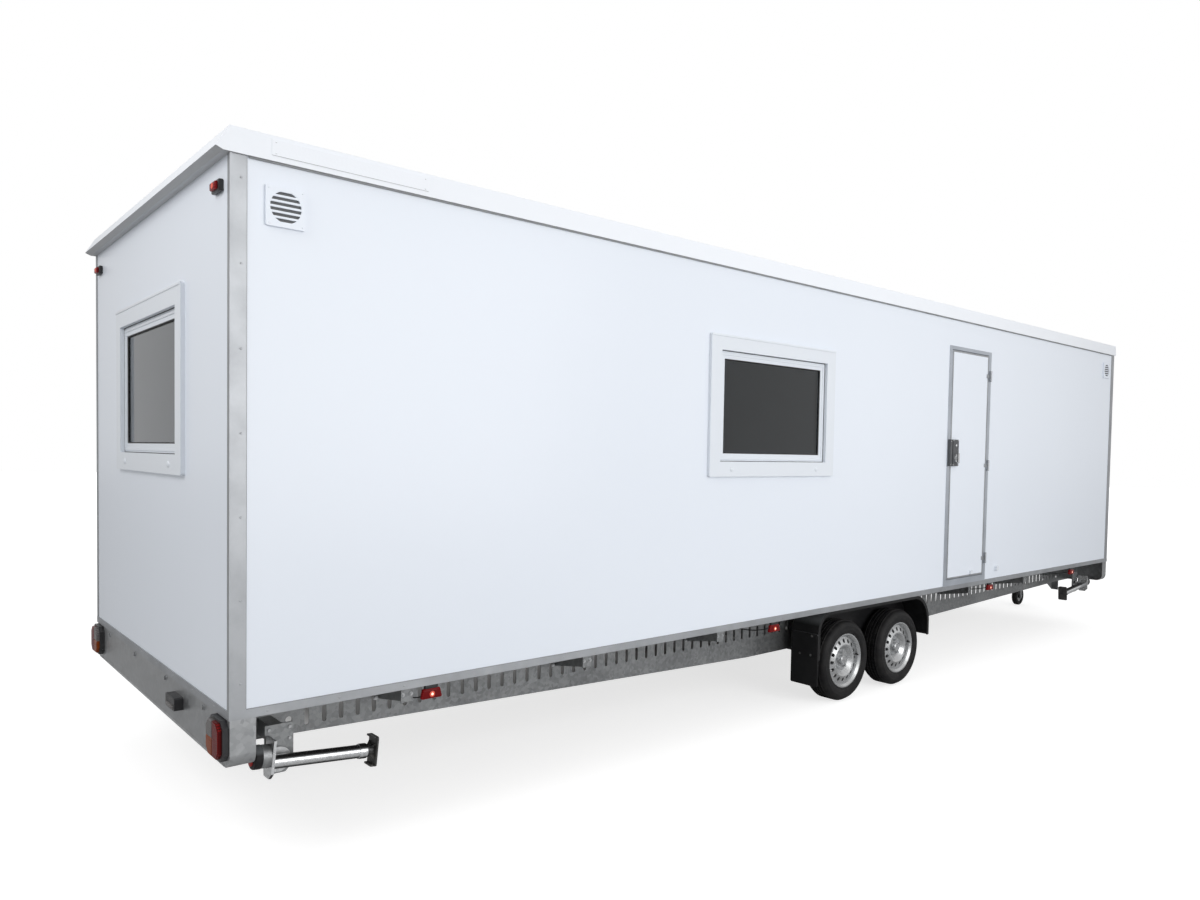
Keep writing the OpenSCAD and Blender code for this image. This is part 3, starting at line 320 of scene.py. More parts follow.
def grained_finish(name, colour, gloss, dull, per_metre, depth, shine=0.5):
    """Moulded plastic or paint with a fine grain, paler and duller where it is scuffed."""
    made, tree, sockets = new_finish(name, colour, gloss)
    skin = put(tree, "ShaderNodeGroup", {"Per metre": per_metre}, node_tree=plastic_grain).outputs
    tree.links.new(rescale(tree, skin["Scuff"], 0.0, 1.0, gloss, dull), sockets["Roughness"])
    pale = tuple(0.90 * c + 0.006 for c in colour)
    tree.links.new(blend_colours(tree, skin["Scuff"], (*colour, 1), (*pale, 1)), sockets["Base Color"])
    emboss(tree, sockets, skin["Height"], depth)
    sockets["Specular IOR Level"].default_value = shine
    return made


def paint_light_by_slope(finish, tint, start, full, both_ways=False):
    """Paints light or shade by slope: another tone on the faces that look up, or also down, from one slope
    to another.
    """
    tree = finish.node_tree
    base = tree.nodes["Principled BSDF"].inputs["Base Color"]
    normal = put(tree, "ShaderNodeTexCoord").outputs["Normal"]
    slope = put(tree, "ShaderNodeSeparateXYZ", {0: normal}).outputs["Z"]
    if both_ways:
        slope = reckon(tree, "ABSOLUTE", slope, 0.0)
    share = rescale(tree, slope, start, full, 0.0, 1.0)
    tree.links.new(blend_colours(tree, share, base.links[0].from_socket, (*tint, 1)), base)


guard_black = grained_finish("guard_black", (0.009, 0.009, 0.010), 0.42, 0.62, 420.0, 0.0006, 0.22)
# Painted reflection: faces that look up are paler, as if they caught the sky.
paint_light_by_slope(guard_black, (0.10, 0.107, 0.112), 0.36, 0.62)
coat(guard_black, "mudguards", "mud_flaps")
bm = bmesh.new()
for side in (-1, 1):
    for y, z in FLAP_BOLTS:
        bolt(bm, (FLAP_FACE_X, side * y, z), (-1, 0, 0), 0.012, 0.006)
set_piece("flap_bolts", bm, [axle_zinc], "cabin")

# End boards: zinc-dipped folded sheet across both ends of the frame, hemmed along the lower edge
# and bolted to the beams' ends.
REAR_X, FRONT_X = -5.400, 3.960
ENDS = ((REAR_X, -1), (FRONT_X, 1))
HEM_HALF_W, HEM_R, HEM_Z = 1.205, 0.0052, 0.497
BOARD_BOLT_YS, BOARD_BOLT_Z = (-0.93, -0.31, 0.31, 0.93), 0.675
board_zinc = zinc_finish("board_zinc", (0.30, 0.31, 0.32), (0.47, 0.48, 0.49), 48.0, 0.30, 0.52)
coat(board_zinc, "end_boards")
bm = bmesh.new()
for x, out in ENDS:
    peg(bm, (x - out * 0.002, -HEM_HALF_W, HEM_Z), (0, 1, 0), HEM_R, HEM_R, 2 * HEM_HALF_W, 12)
    for y in BOARD_BOLT_YS:
        bolt(bm, (x, y, BOARD_BOLT_Z), (out, 0, 0), 0.018, 0.010)
set_piece("board_hems", bm, [board_zinc], "cabin")

# Tail lamps: black moulded housings with a lens in three parts, red on the outer half, clear above
# and amber below on the inner half, and a small lamp for the number plate.
TAIL_Y, TAIL_Z = 1.177, 0.610
LENS_HALF_W, LENS_HALF_H, LENS_CUT, LENS_EDGE = 0.080, 0.075, 0.030, 0.004
LENS_BACK_X, LENS_FACE_X = -5.426, -5.438
RED, AMBER, CLEAR = 0, 1, 2
PRISMS_PER_METRE = 34.0
lamp_black = grained_finish("lamp_black", (0.016, 0.016, 0.018), 0.30, 0.45, 900.0, 0.0002)
coat(lamp_black, "tail_lamps")


def lens_finish(name, colour, deep, glow):
    """Ribbed lens plastic: fine prisms across, a darker tone between them, and a painted glow that the lens
    emits itself.
    """
    made, tree, sockets = new_finish(name, colour, 0.12)
    bands = {"Vector": own_place(tree), "Scale": PRISMS_PER_METRE, "Distortion": 0.0}
    prism = put(tree, "ShaderNodeTexWave", bands, bands_direction="Z").outputs[1]
    cross = put(tree, "ShaderNodeTexWave", bands, bands_direction="Y").outputs[1]
    facet = reckon(tree, "MULTIPLY", prism, cross)
    tree.links.new(blend_colours(tree, facet, (*deep, 1), (*colour, 1)), sockets["Base Color"])
    tree.links.new(rescale(tree, facet, 0.0, 1.0, 0.20, 0.08), sockets["Roughness"])
    sockets["Specular IOR Level"].default_value = 0.10
    sockets["Emission Color"].default_value = (*colour, 1)
    sockets["Emission Strength"].default_value = glow
    emboss(tree, sockets, facet, 0.0008)
    return made


red_lens = lens_finish("red_lens", (0.22, 0.006, 0.006), (0.06, 0.003, 0.003), 0.05)
amber_lens = lens_finish("amber_lens", (0.36, 0.075, 0.010), (0.12, 0.022, 0.004), 0.05)
clear_lens = lens_finish("clear_lens", (0.26, 0.25, 0.25), (0.08, 0.075, 0.075), 0.03)
bm = bmesh.new()
for side in (-1, 1):
    known = set(bm.faces)
    made = bmesh.ops.create_cube(bm, size=1, matrix=Matrix.LocRotScale(
        ((LENS_BACK_X + LENS_FACE_X) / 2, side * TAIL_Y, TAIL_Z), None,
        (LENS_BACK_X - LENS_FACE_X, 2 * LENS_HALF_W, 2 * LENS_HALF_H)))
    long_edges = [e for e in {e for v in made["verts"] for e in v.link_edges}
                  if abs(e.verts[0].co.x - e.verts[1].co.x) > 0.005]
    bmesh.ops.bevel(bm, geom=long_edges, offset=LENS_CUT, segments=1, profile=0.5, affect="EDGES",
                    material=-1)
    for point, normal in (((0, side * TAIL_Y, 0), (0, 1, 0)), ((0, 0, TAIL_Z), (0, 0, 1))):
        lens = [f for f in bm.faces if f not in known]
        bmesh.ops.bisect_plane(bm, geom=lens + list({e for f in lens for e in f.edges})
                               + list({v for f in lens for v in f.verts}), plane_co=point, plane_no=normal)
    fronts = []
    for f in bm.faces:
        if f not in known:
            middle = f.calc_center_median()
            inner = CLEAR if middle.z > TAIL_Z else AMBER
            f.material_index = RED if side * middle.y > TAIL_Y else inner
            if f.normal.x < -0.9:
                fronts.append((f.material_index, f))
    for tint in (RED, AMBER, CLEAR):
        bmesh.ops.inset_region(bm, faces=[f for m, f in fronts if m == tint], thickness=LENS_EDGE,
                               depth=LENS_EDGE, use_boundary=True, use_even_offset=True)
lenses = set_piece("tail_lamp_lens_set", bm, [red_lens, amber_lens, clear_lens], "cabin")
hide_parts("tail_lamp_lenses")


def block(bm, low, high, edge=0.0, rounds=2, tint=0):
    """A block between two corners, with its edges eased."""
    known = set(bm.faces)
    low, high = Vector(low), Vector(high)
    made = bmesh.ops.create_cube(bm, size=1, matrix=Matrix.LocRotScale((low + high) / 2, None, high - low))
    if edge:
        bmesh.ops.bevel(bm, geom=list({e for v in made["verts"] for e in v.link_edges}), offset=edge,
                        segments=rounds, profile=0.5, affect="EDGES", material=-1)
    for f in bm.faces:
        if f not in known:
            f.material_index = tint


bm = bmesh.new()
block(bm, (-5.4445, -0.595, 0.592), (-5.436, -0.485, 0.612), 0.003)
set_piece("plate_lamp_lens", bm, [clear_lens], "cabin")

# Marker lamps: two red lamps high on the rear wall, each on a black base, and four along each side,
# hung under the bottom rail on a black bracket. Their lenses glow, with a small bright spot in each:
# painted glow and painted highlight, not a lit bulb.
TOP_LAMP_Y, TOP_LAMP_Z = 1.145, 2.865
TOP_BASE_X, TOP_LENS_X = -5.420, -5.432
SIDE_LAMP_XS, SIDE_LAMP_Y = (-4.475, -1.8845, 1.2155, 3.035), 1.2495
SIDE_LENS_Y, SIDE_LENS_Z = -0.0255, -0.046
CABLE_D, CABLE_EXIT_Y = 0.007, 1.262
# Painted glow: the marker lenses emit light, though no bulb behind them is lit.
painted_glow_red = lens_finish("lit_red_lens", (0.27, 0.012, 0.014), (0.10, 0.005, 0.006), 0.14)
painted_halo_highlight = lens_finish("painted_halo_highlight", (0.70, 0.12, 0.07), (0.45, 0.06, 0.04), 0.42)
painted_spark_highlight = lens_finish("painted_spark_highlight", (1.0, 0.74, 0.58), (0.9, 0.60, 0.45), 0.85)


def rivet(bm, at, out, radius, height, tint=0):
    """A low dome, half sunk, such as a blind rivet's head."""
    place = facing(at, out) @ Matrix.Diagonal((radius, radius, height, 1))
    made = bmesh.ops.create_uvsphere(bm, u_segments=10, v_segments=6, radius=1, matrix=place)
    for f in {f for v in made["verts"] for f in v.link_faces}:
        f.material_index = tint


def repeated(build, places):
    """The same part built at several places, in one mesh."""
    whole = bmesh.new()
    for place in places:
        one = bmesh.new()
        build(one)
        bmesh.ops.transform(one, matrix=place, verts=one.verts)
        spare = bpy.data.meshes.new("spare")
        one.to_mesh(spare)
        one.free()
        whole.from_mesh(spare)
        bpy.data.meshes.remove(spare)
    return whole


def side_lamp(bm):
    """A lens that narrows upwards, under its bracket, with a painted highlight spot in two rings."""
    block(bm, (-0.034, -0.020, -0.026), (0.034, 0, 0), 0.003, tint=1)
    known = set(bm.verts)
    block(bm, (-0.055, SIDE_LENS_Y, -0.068), (0.055, 0, -0.020), 0.008, 3)
    upper = [v for v in bm.verts if v not in known and v.co.z > -0.044]
    bmesh.ops.scale(bm, vec=(0.84, 1, 1), verts=upper)
    # Painted highlight: a glowing spot in two rings on the lens.
    rivet(bm, (0, SIDE_LENS_Y, SIDE_LENS_Z), (0, -1, 0), 0.0145, 0.0012, tint=2)
    rivet(bm, (0, SIDE_LENS_Y - 0.0008, SIDE_LENS_Z), (0, -1, 0), 0.0070, 0.0016, tint=3)


bm = repeated(side_lamp, [Matrix.Translation((x, side * SIDE_LAMP_Y, UNDERSIDE_Z))
                          @ Matrix.Diagonal((1, -side, 1, 1)) for side in (-1, 1) for x in SIDE_LAMP_XS])
for side in (-1, 1):
    y, z = side * TOP_LAMP_Y, TOP_LAMP_Z
    block(bm, (TOP_BASE_X, y - 0.050, z - 0.024), (REAR_X, y + 0.050, z + 0.024), 0.005, tint=1)
    block(bm, (TOP_LENS_X, y - 0.036, z - 0.016), (-5.418, y + 0.036, z + 0.016), 0.006, 3)
    # Painted highlight: a glowing spot on the top lamp's lens.
    rivet(bm, (TOP_LENS_X, y, z), (-1, 0, 0), 0.013, 0.0015, tint=2)
    for across in (-0.044, 0.044):
        rivet(bm, (TOP_BASE_X, y + across, z), (-1, 0, 0), 0.004, 0.0015, tint=1)
lamps = set_piece("marker_lamp_set", bm, [painted_glow_red, lamp_black, painted_halo_highlight, painted_spark_highlight], "cabin")
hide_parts("marker_lamps")


def cable(bm, start, end, sag):
    """A cable that hangs in an arc between two ends."""
    start, end = Vector(start), Vector(end)
    half = (end - start) / 2
    radius = (half.length_squared + sag * sag) / (2 * sag)
    middle = start + half + Vector((0, 0, radius - sag))
    axis = half.cross((0, 0, 1)).normalized()
    ring = bmesh.ops.create_circle(bm, segments=8, radius=CABLE_D / 2,
                                   matrix=facing(start, axis.cross(start - middle)))["verts"]
    bmesh.ops.spin(bm, geom=ring + list({e for v in ring for e in v.link_edges}), cent=middle,
                   axis=axis, angle=2 * math.asin(half.length / radius), steps=10)
    bmesh.ops.holes_fill(bm, edges=[e for e in bm.edges if e.is_boundary], sides=8)


bm = bmesh.new()
for side in (-1, 1):
    exit_y, beam_y = side * CABLE_EXIT_Y, side * (BEAM_WEB_Y + 0.001)
    cable(bm, (-4.522, exit_y, UNDERSIDE_Z - 0.050), (-4.572, side * 1.205, UNDERSIDE_Z - 0.068), 0.010)
    for x in SIDE_LAMP_XS[1:]:
        cable(bm, (x - 0.047, exit_y, UNDERSIDE_Z - 0.040), (x - 0.150, beam_y, UNDERSIDE_Z - 0.032), 0.030)
set_piece("marker_lamp_cables", bm, [lamp_black], "cabin")

# Drawbar: two box-section arms that meet at the towing eye, and a jockey wheel with a crank in a
# clamp on a cross bar. All zinc-dipped, with a solid rubber wheel.
EYE_BOLT_XS, EYE_BOLT_Y, EYE_PLATE_Z = (4.985, 5.095), 0.065, 0.494
ARM_BOLT_XS, ARM_BOLT_Y, ARM_TOP_Z = (3.560, 3.860), 0.905, 0.489
JOCKEY_Y, POST_X, CRANK_X, CLAMP_X = -0.105, 4.500, 4.620, 4.452
JOCKEY_AXLE_X, JOCKEY_AXLE_Z = 4.460, 0.110
CRANK_BOSS = [(0, 0.026), (0.012, 0.026), (0.016, 0.022), (0.016, 0.006), (0.033, 0.004), (0.033, -0.012),
              (0.030, -0.012), (0, -0.012)]
CRANK_GRIP = [(0, 0.920), (0.010, 0.918), (0.013, 0.910), (0.014, 0.875), (0.012, 0.833), (0, 0.829)]
coat(galvanised, "drawbar", "jockey_post", "jockey_fork")
eye_steel = zinc_finish("eye_steel", (0.16, 0.16, 0.17), (0.30, 0.30, 0.31), 120.0, 0.32, 0.5)
coat(eye_steel, "towing_eye")
coat(rubber, "jockey_wheel")
bm = bmesh.new()
for x in EYE_BOLT_XS:
    for y in (-EYE_BOLT_Y, EYE_BOLT_Y):
        bolt(bm, (x, y, EYE_PLATE_Z), (0, 0, 1), 0.024, 0.015)
for y in (-ARM_BOLT_Y, ARM_BOLT_Y):
    for x in ARM_BOLT_XS:
        bolt(bm, (x, y, ARM_TOP_Z), (0, 0, 1), 0.020, 0.013)
set_piece("drawbar_bolts", bm, [bolt_zinc], "cabin")
bm = bmesh.new()
turned(bm, CRANK_BOSS, 24)
bmesh.ops.transform(bm, matrix=Matrix.Translation((POST_X, JOCKEY_Y, 0.796)), verts=bm.verts)
block(bm, (4.492, -0.112, 0.811), (4.630, -0.098, 0.821), 0.002)
peg(bm, (CRANK_X, JOCKEY_Y, 0.819), (0, 0, 1), 0.006, 0.006, 0.012, 12)
set_piece("jockey_crank", bm, [galvanised], "cabin")
bm = bmesh.new()
turned(bm, CRANK_GRIP, 20)
set_piece("jockey_crank_grip", bm, [guard_black], "cabin",
          Matrix.Translation((CRANK_X, JOCKEY_Y, 0)))
bm = bmesh.new()
peg(bm, (CLAMP_X, JOCKEY_Y, 0.560), (0, 0, 1), 0.010, 0.010, 0.030, 12)
peg(bm, (CLAMP_X, -0.130, 0.585), (0, 1, 0), 0.006, 0.006, 0.095, 12)
set_piece("jockey_clamp_screw", bm, [bolt_zinc], "cabin")
bm = bmesh.new()
for out in (-1, 1):
    peg(bm, (JOCKEY_AXLE_X, JOCKEY_Y + out * 0.0435, JOCKEY_AXLE_Z), (0, out, 0), 0.012, 0.011, 0.006, 6)
set_piece("jockey_pin_nuts", bm, [bolt_zinc], "jockey_fork")
bm = bmesh.new()
for out in (-1, 1):
    at = (JOCKEY_AXLE_X, JOCKEY_Y + out * 0.0182, JOCKEY_AXLE_Z)
    peg(bm, at, (0, out, 0), 0.068, 0.066, 0.002, 28)
    peg(bm, at, (0, out, 0), 0.026, 0.024, 0.010, 20)
set_piece("jockey_hub_discs", bm, [cap_grey], "jockey_wheel")

# Jack legs: zinc tubes that swing down and slide out, on brackets bolted to the beams, with painted
# reflection on them: dark on the faces that look up and down, so the bright zinc shows along the sides.
# The lifting screw has a black head with a red button, and the pressed steel foot is painted black.
LEGS = {("rear", "right"): (-5.150, -1.160, 1, 1), ("rear", "left"): (-5.150, 1.160, 1, -1),
        ("front", "right"): (3.535, -1.160, -1, 1), ("front", "left"): (3.535, 1.160, -1, -1)}
LEG_Z = 0.448
LEG_DROOP = math.radians(5.5)
LEG_LEN = 0.436
LEG_HEAD = ([(0, -0.1325), (0.0455, -0.1325), (0.0490, -0.1316), (0.0508, -0.1290), (0.0512, -0.1255),
             (0.0512, -0.102), (0.0502, -0.0995), (0, -0.0995)],
            [(0, -0.1008), (0.0496, -0.1008), (0.0496, -0.0630), (0.0482, -0.0618), (0, -0.0618)])
LEG_BUTTON = [(0, -0.1425), (0.0120, -0.1420), (0.0162, -0.1400), (0.0178, -0.1365), (0.0178, -0.1312),
              (0, -0.1312)]
LEG_HEAD_SHIFT, LEG_BUTTON_SHIFT = (-0.034, -0.014, 0), (0.019, 0, 0)
LEG_COLLAR = [(0.0298, 0.355), (0.0335, 0.356), (0.0345, 0.360), (0.0345, 0.389), (0.0335, 0.393),
              (0.0298, 0.394)]
BRACKET_FACE_Y = 0.0403
BRACKET_BOLTS = ((-0.038, 0.132), (0.053, 0.132), (-0.038, 0.082), (0.053, 0.082))
FOOT_WEB_MIDDLE, FOOT_WEB_SIZE = (0.036, 0, LEG_LEN - 0.020), (0.026, 0.005, 0.026)
leg_zinc = zinc_finish("leg_zinc", (0.62, 0.63, 0.64), (0.78, 0.79, 0.80), 90.0, 0.22, 0.34)
# Painted reflection: faces that look up and down turn dark, as if they mirrored the dark underside.
paint_light_by_slope(leg_zinc, (0.045, 0.045, 0.047), 0.36, 0.62, both_ways=True)
foot_black = dusty_finish("foot_black", (0.022, 0.022, 0.024), 0.38, 0.55, 0.75, pores=(60.0, 6.0, 0.0006))
cap_red = grained_finish("cap_red", (0.42, 0.020, 0.018), 0.30, 0.45, 900.0, 0.0002)
coat(galvanised, "leg_mounts")
for (end, side), (x, y, sx, sy) in LEGS.items():
    coat(leg_zinc, f"leg_tube_{end}_{side}")
    coat(foot_black, f"leg_foot_{end}_{side}")
    stand = Matrix.Translation((x, y, LEG_Z)) @ Matrix.Diagonal((sx, sy, 1, 1))
    along = stand @ Matrix.Rotation(math.pi / 2 + LEG_DROOP, 4, "Y")

    bm = bmesh.new()
    turned(bm, LEG_BUTTON, 24)
    bmesh.ops.translate(bm, vec=LEG_BUTTON_SHIFT, verts=bm.verts)
    for tint, outline in enumerate(LEG_HEAD, 1):
        known = set(bm.faces)
        turned(bm, outline, 36)
        for f in bm.faces:
            if f not in known:
                f.material_index = tint
    set_piece(f"leg_screw_head_{end}_{side}", bm, [cap_red, guard_black, galvanised], f"leg_{end}_{side}",
              along @ Matrix.Translation(LEG_HEAD_SHIFT))

    bm = bmesh.new()
    turned(bm, LEG_COLLAR, 32, closed=True)
    set_piece(f"leg_collar_{end}_{side}", bm, [leg_zinc], f"leg_{end}_{side}", along)

    bm = bmesh.new()
    for u, v in BRACKET_BOLTS:
        peg(bm, (u, BRACKET_FACE_Y, v), (0, -1, 0), 0.0085, 0.0070, 0.004, 12)
    set_piece(f"leg_bracket_bolts_{end}_{side}", bm, [bolt_zinc], "cabin", stand)

    bm = bmesh.new()
    for turn in (45, 135, 225, 315):
        made = bmesh.ops.create_cube(bm, size=1, matrix=Matrix.Rotation(math.radians(turn), 4, "Z")
                                     @ Matrix.LocRotScale(FOOT_WEB_MIDDLE, None, FOOT_WEB_SIZE))
        slope = [v for v in made["verts"] if v.co.z < LEG_LEN - 0.025 and v.co.xy.length > 0.04]
        bmesh.ops.translate(bm, vec=(0, 0, 0.020), verts=slope)
    set_piece(f"foot_webs_{end}_{side}", bm, [foot_black], f"foot_{end}_{side}", along)

# Floor: coated plywood laid on the frame, with a fine raised grain along the cabin. It is seen
# through the windows and the open door.
floor_board, tree, sockets = new_finish("floor_board", (0.24, 0.22, 0.20), 0.5)
fibre = put(tree, "ShaderNodeMapping", {"Vector": own_place(tree), "Scale": (1.2, 26.0, 26.0)}).outputs[0]
figure = noise(tree, fibre, 2.0, 6.0, Distortion=0.6)
tree.links.new(blend_colours(tree, figure, (0.17, 0.15, 0.135, 1), (0.30, 0.275, 0.25, 1)),
               sockets["Base Color"])
tree.links.new(rescale(tree, figure, 0.3, 0.7, 0.38, 0.6), sockets["Roughness"])
emboss(tree, sockets, figure, 0.0005)
coat(floor_board, "floor_panel")

# Bottom rail and corner trims: extruded aluminium angles round the foot and up the corners of the
# box, set on a bead of sealant and fixed with blind rivets.
WALL_Y = 1.275
RAIL_Z, RAIL_T = 0.717, 0.005
RAIL_RIVETS, RAIL_END_RIVETS, TRIM_RIVETS = 30, 8, 7
TRIM_XS, TRIM_T = (-5.360, 3.920), 0.004
BEAD_XS, BEAD_FOOT_Z, BEAD_HEAD_Z = (-5.3375, 3.8975), 0.737, 2.973
RAIL_BEADS = ((-5.335, 0.340), (1.084, 3.895))
aluminium_draw, ain, aout = new_effect("drawn_aluminium", {"Across": 420.0, "Along": 3.0},
                                       {"Streak": "Float", "Tarnish": "Float"})
spot = own_place(aluminium_draw)
stretch = put(aluminium_draw, "ShaderNodeCombineXYZ", {0: ain["Along"], 1: ain["Across"], 2: ain["Along"]})
drawn = put(aluminium_draw, "ShaderNodeVectorMath", {0: spot, 1: stretch.outputs[0]}, operation="MULTIPLY")
aluminium_draw.links.new(noise(aluminium_draw, drawn.outputs[0], 1.0, 3.0), aout["Streak"])
aluminium_draw.links.new(noise(aluminium_draw, spot, 5.0, 6.0, Roughness=0.6), aout["Tarnish"])


def aluminium_finish(name, bright, dull, smooth, matt):
    """Drawn aluminium with fine streaks and a cloudy tarnish."""
    made, tree, sockets = new_finish(name, bright, smooth, 0.9)
    drawing = put(tree, "ShaderNodeGroup", node_tree=aluminium_draw).outputs
    stain = rescale(tree, drawing["Tarnish"], 0.35, 0.68, 0.0, 1.0)
    tree.links.new(blend_colours(tree, stain, (*bright, 1), (*dull, 1)), sockets["Base Color"])
    tree.links.new(rescale(tree, drawing["Streak"], 0.2, 0.8, smooth, matt), sockets["Roughness"])
    emboss(tree, sockets, drawing["Streak"], 0.00008)
    return made


aluminium = aluminium_finish("aluminium_trim", (0.44, 0.455, 0.475), (0.36, 0.372, 0.39), 0.42, 0.58)
coat(aluminium, "bottom_rail", "corner_trims")
bm = bmesh.new()
for side in (-1, 1):
    for i in range(RAIL_RIVETS):
        rivet(bm, (-5.250 + i * 0.3125, side * (WALL_Y + RAIL_T), RAIL_Z), (0, side, 0), 0.0050, 0.0022)
    end_x = (REAR_X if side < 0 else FRONT_X) + side * RAIL_T
    for i in range(RAIL_END_RIVETS):
        rivet(bm, (end_x, -1.085 + i * 0.310, RAIL_Z), (side, 0, 0), 0.0050, 0.0022)
    for i in range(TRIM_RIVETS):
        z = 0.845 + i * 0.340
        for x in TRIM_XS:
            rivet(bm, (x, side * (WALL_Y + TRIM_T), z), (0, side, 0), 0.0050, 0.0022)
        for x, out in ENDS:
            rivet(bm, (x + out * TRIM_T, side * 1.265, z + 0.17), (out, 0, 0), 0.0045, 0.0020)
set_piece("trim_rivets", bm, [aluminium], "cabin")

sealant = grained_finish("sealant_grey", (0.30, 0.31, 0.32), 0.55, 0.7, 700.0, 0.0003)
bm = bmesh.new()
for side in (-1, 1):
    for x in BEAD_XS:
        block(bm, (x - 0.0025, side * 1.2745, BEAD_FOOT_Z), (x + 0.0025, side * 1.2775, BEAD_HEAD_Z),
              0.001, 1)
    for x, out in ENDS:
        x += out * 0.0005
        block(bm, (x - 0.0015, side * 1.2525, BEAD_FOOT_Z), (x + 0.0015, side * 1.2475, BEAD_HEAD_Z),
              0.001, 1)
    for start, end in RAIL_BEADS:
        block(bm, (start, side * 1.2745, 0.7335), (end, side * 1.2785, 0.7385), 0.001, 1)
set_piece("sealant_beads", bm, [sealant], "cabin")

# Walls: foam-cored panels with a smooth, bluish white skin that has the faint orange peel and the
# soft gloss of a gel coat.
gel, pin, pout = new_effect("gel_coat", {"Peel": 160.0}, {"Height": "Float", "Haze": "Float"})
spot = own_place(gel)
gel.links.new(noise(gel, spot, pin["Peel"], 2.0), pout["Height"])
gel.links.new(noise(gel, spot, 0.5, 1.0), pout["Haze"])


def gel_finish(name, colour, shade, gloss, matt, peel, depth):
    """A moulded skin that drifts between two tones, with an orange peel of so many dimples a metre."""
    made, tree, sockets = new_finish(name, colour, gloss)
    skin = put(tree, "ShaderNodeGroup", {"Peel": peel}, node_tree=gel).outputs
    film = rescale(tree, skin["Haze"], 0.1, 0.9, 0.0, 1.0)
    tree.links.new(blend_colours(tree, film, (*colour, 1), (*shade, 1)), sockets["Base Color"])
    tree.links.new(rescale(tree, film, 0.0, 1.0, gloss, matt), sockets["Roughness"])
    emboss(tree, sockets, skin["Height"], depth)
    return made


panel_white = gel_finish("panel_white", (0.79, 0.835, 0.905), (0.765, 0.812, 0.885), 0.26, 0.34,
                         150.0, 0.0002)
coat(panel_white, "rear_wall", "front_wall", "left_wall", "right_wall_rear", "right_wall_front",
     "right_wall_lintel", "door_leaf")

# Roof: a white moulded cap with a deep edge along the sides, ends that slope out to an overhanging
# lip, grey below as painted shade, and bonded strips across the top. A plain plate without any print is
# fixed to the edge near the rear.
STRIP_XS, STRIP_HALF_W, STRIP_HALF_L = (-3.060, -0.720, 1.620), 0.060, 1.270
PLATE_FACE_Y = -1.2915
roof_white = gel_finish("roof_white", (0.87, 0.90, 0.945), (0.84, 0.87, 0.92), 0.34, 0.5, 90.0, 0.0004)
# Painted shade: faces that look down turn grey.
paint_light_by_slope(roof_white, (0.45, 0.46, 0.475), -0.10, -0.45)
coat(roof_white, "roof_cap", "roof_panel")
bm = bmesh.new()
for x in STRIP_XS:
    block(bm, (x - STRIP_HALF_W, -STRIP_HALF_L, 3.0750), (x + STRIP_HALF_W, STRIP_HALF_L, 3.0800), 0.002)
set_piece("roof_joint_strips", bm, [roof_white], "cabin")
bm = bmesh.new()
block(bm, (-5.243, PLATE_FACE_Y, 2.997), (-4.527, PLATE_FACE_Y + 0.003, 3.062), 0.001, 1)
for x in (-5.225, -4.545):
    for z in (3.007, 3.052):
        rivet(bm, (x, PLATE_FACE_Y, z), (0, -1, 0), 0.0035, 0.0015)
set_piece("fascia_blank_plate", bm, [roof_white], "cabin")
bm = bmesh.new()
for side in (-1, 1):
    block(bm, (-5.330, side * 1.2755, 2.9670), (3.890, side * 1.2835, 2.9750), 0.002)
set_piece("eaves_sealant", bm, [sealant], "cabin")

# Windows: white plastic frames with a wide outer flange, rounded along its top, a sash in each and
# sealed double glazing on black gaskets. Two caps cover the fixings in the lower flange.
WINDOW_W, WINDOW_H, SASH_W, FLANGE_W, FLANGE_T = 1.100, 0.690, 0.050, 0.095, 0.020
WINDOW_X, WINDOW_Z = -1.945, 2.115
WINDOWS = (Matrix.Translation((WINDOW_X, -WALL_Y, WINDOW_Z)),
           Matrix.Translation((WINDOW_X, WALL_Y, WINDOW_Z)) @ Matrix.Diagonal((1, -1, 1, 1)),
           Matrix.Translation((REAR_X, 0, WINDOW_Z)) @ Matrix.Rotation(-math.pi / 2, 4, "Z"))


def strips_round(bm, half_w, half_h, width, front, back, edge):
    """Four strips that lie inside a rectangle's edge, between two depths."""
    block(bm, (-half_w, front, half_h - width), (half_w, back, half_h), edge, 1)
    block(bm, (-half_w, front, -half_h), (half_w, back, -half_h + width), edge, 1)
    block(bm, (-half_w, front, -half_h + width), (-half_w + width, back, half_h - width), edge, 1)
    block(bm, (half_w - width, front, -half_h + width), (half_w, back, half_h - width), edge, 1)


def glazing_gaskets(bm):
    strips_round(bm, WINDOW_W / 2 - SASH_W, WINDOW_H / 2 - SASH_W, 0.007, 0.0075, 0.0142, 0.0015)
    strips_round(bm, WINDOW_W / 2, WINDOW_H / 2, 0.004, 0.0022, 0.0045, 0.0008)


def fixing_caps(bm):
    for u in (-0.44, 0.44):
        rivet(bm, (u, -FLANGE_T, -WINDOW_H / 2 - FLANGE_W / 2), (0, -1, 0), 0.017, 0.007)


def sash_beads(bm):
    strips_round(bm, WINDOW_W / 2 - 0.012, WINDOW_H / 2 - 0.012, 0.016, 0.0005, 0.0045, 0.0015)
    half_w, top = WINDOW_W / 2 + FLANGE_W, WINDOW_H / 2 + FLANGE_W
    block(bm, (-half_w, -FLANGE_T - 0.003, top - 0.014), (half_w, -FLANGE_T + 0.002, top + 0.0005),
          0.0024, 3)


def room_handle(bm):
    block(bm, (-0.014, 0.042, -0.330), (0.014, 0.050, -0.310), 0.003)
    block(bm, (-0.009, 0.048, -0.327), (0.009, 0.078, -0.313), 0.003)
    block(bm, (-0.009, 0.068, -0.327), (0.110, 0.078, -0.313), 0.004)


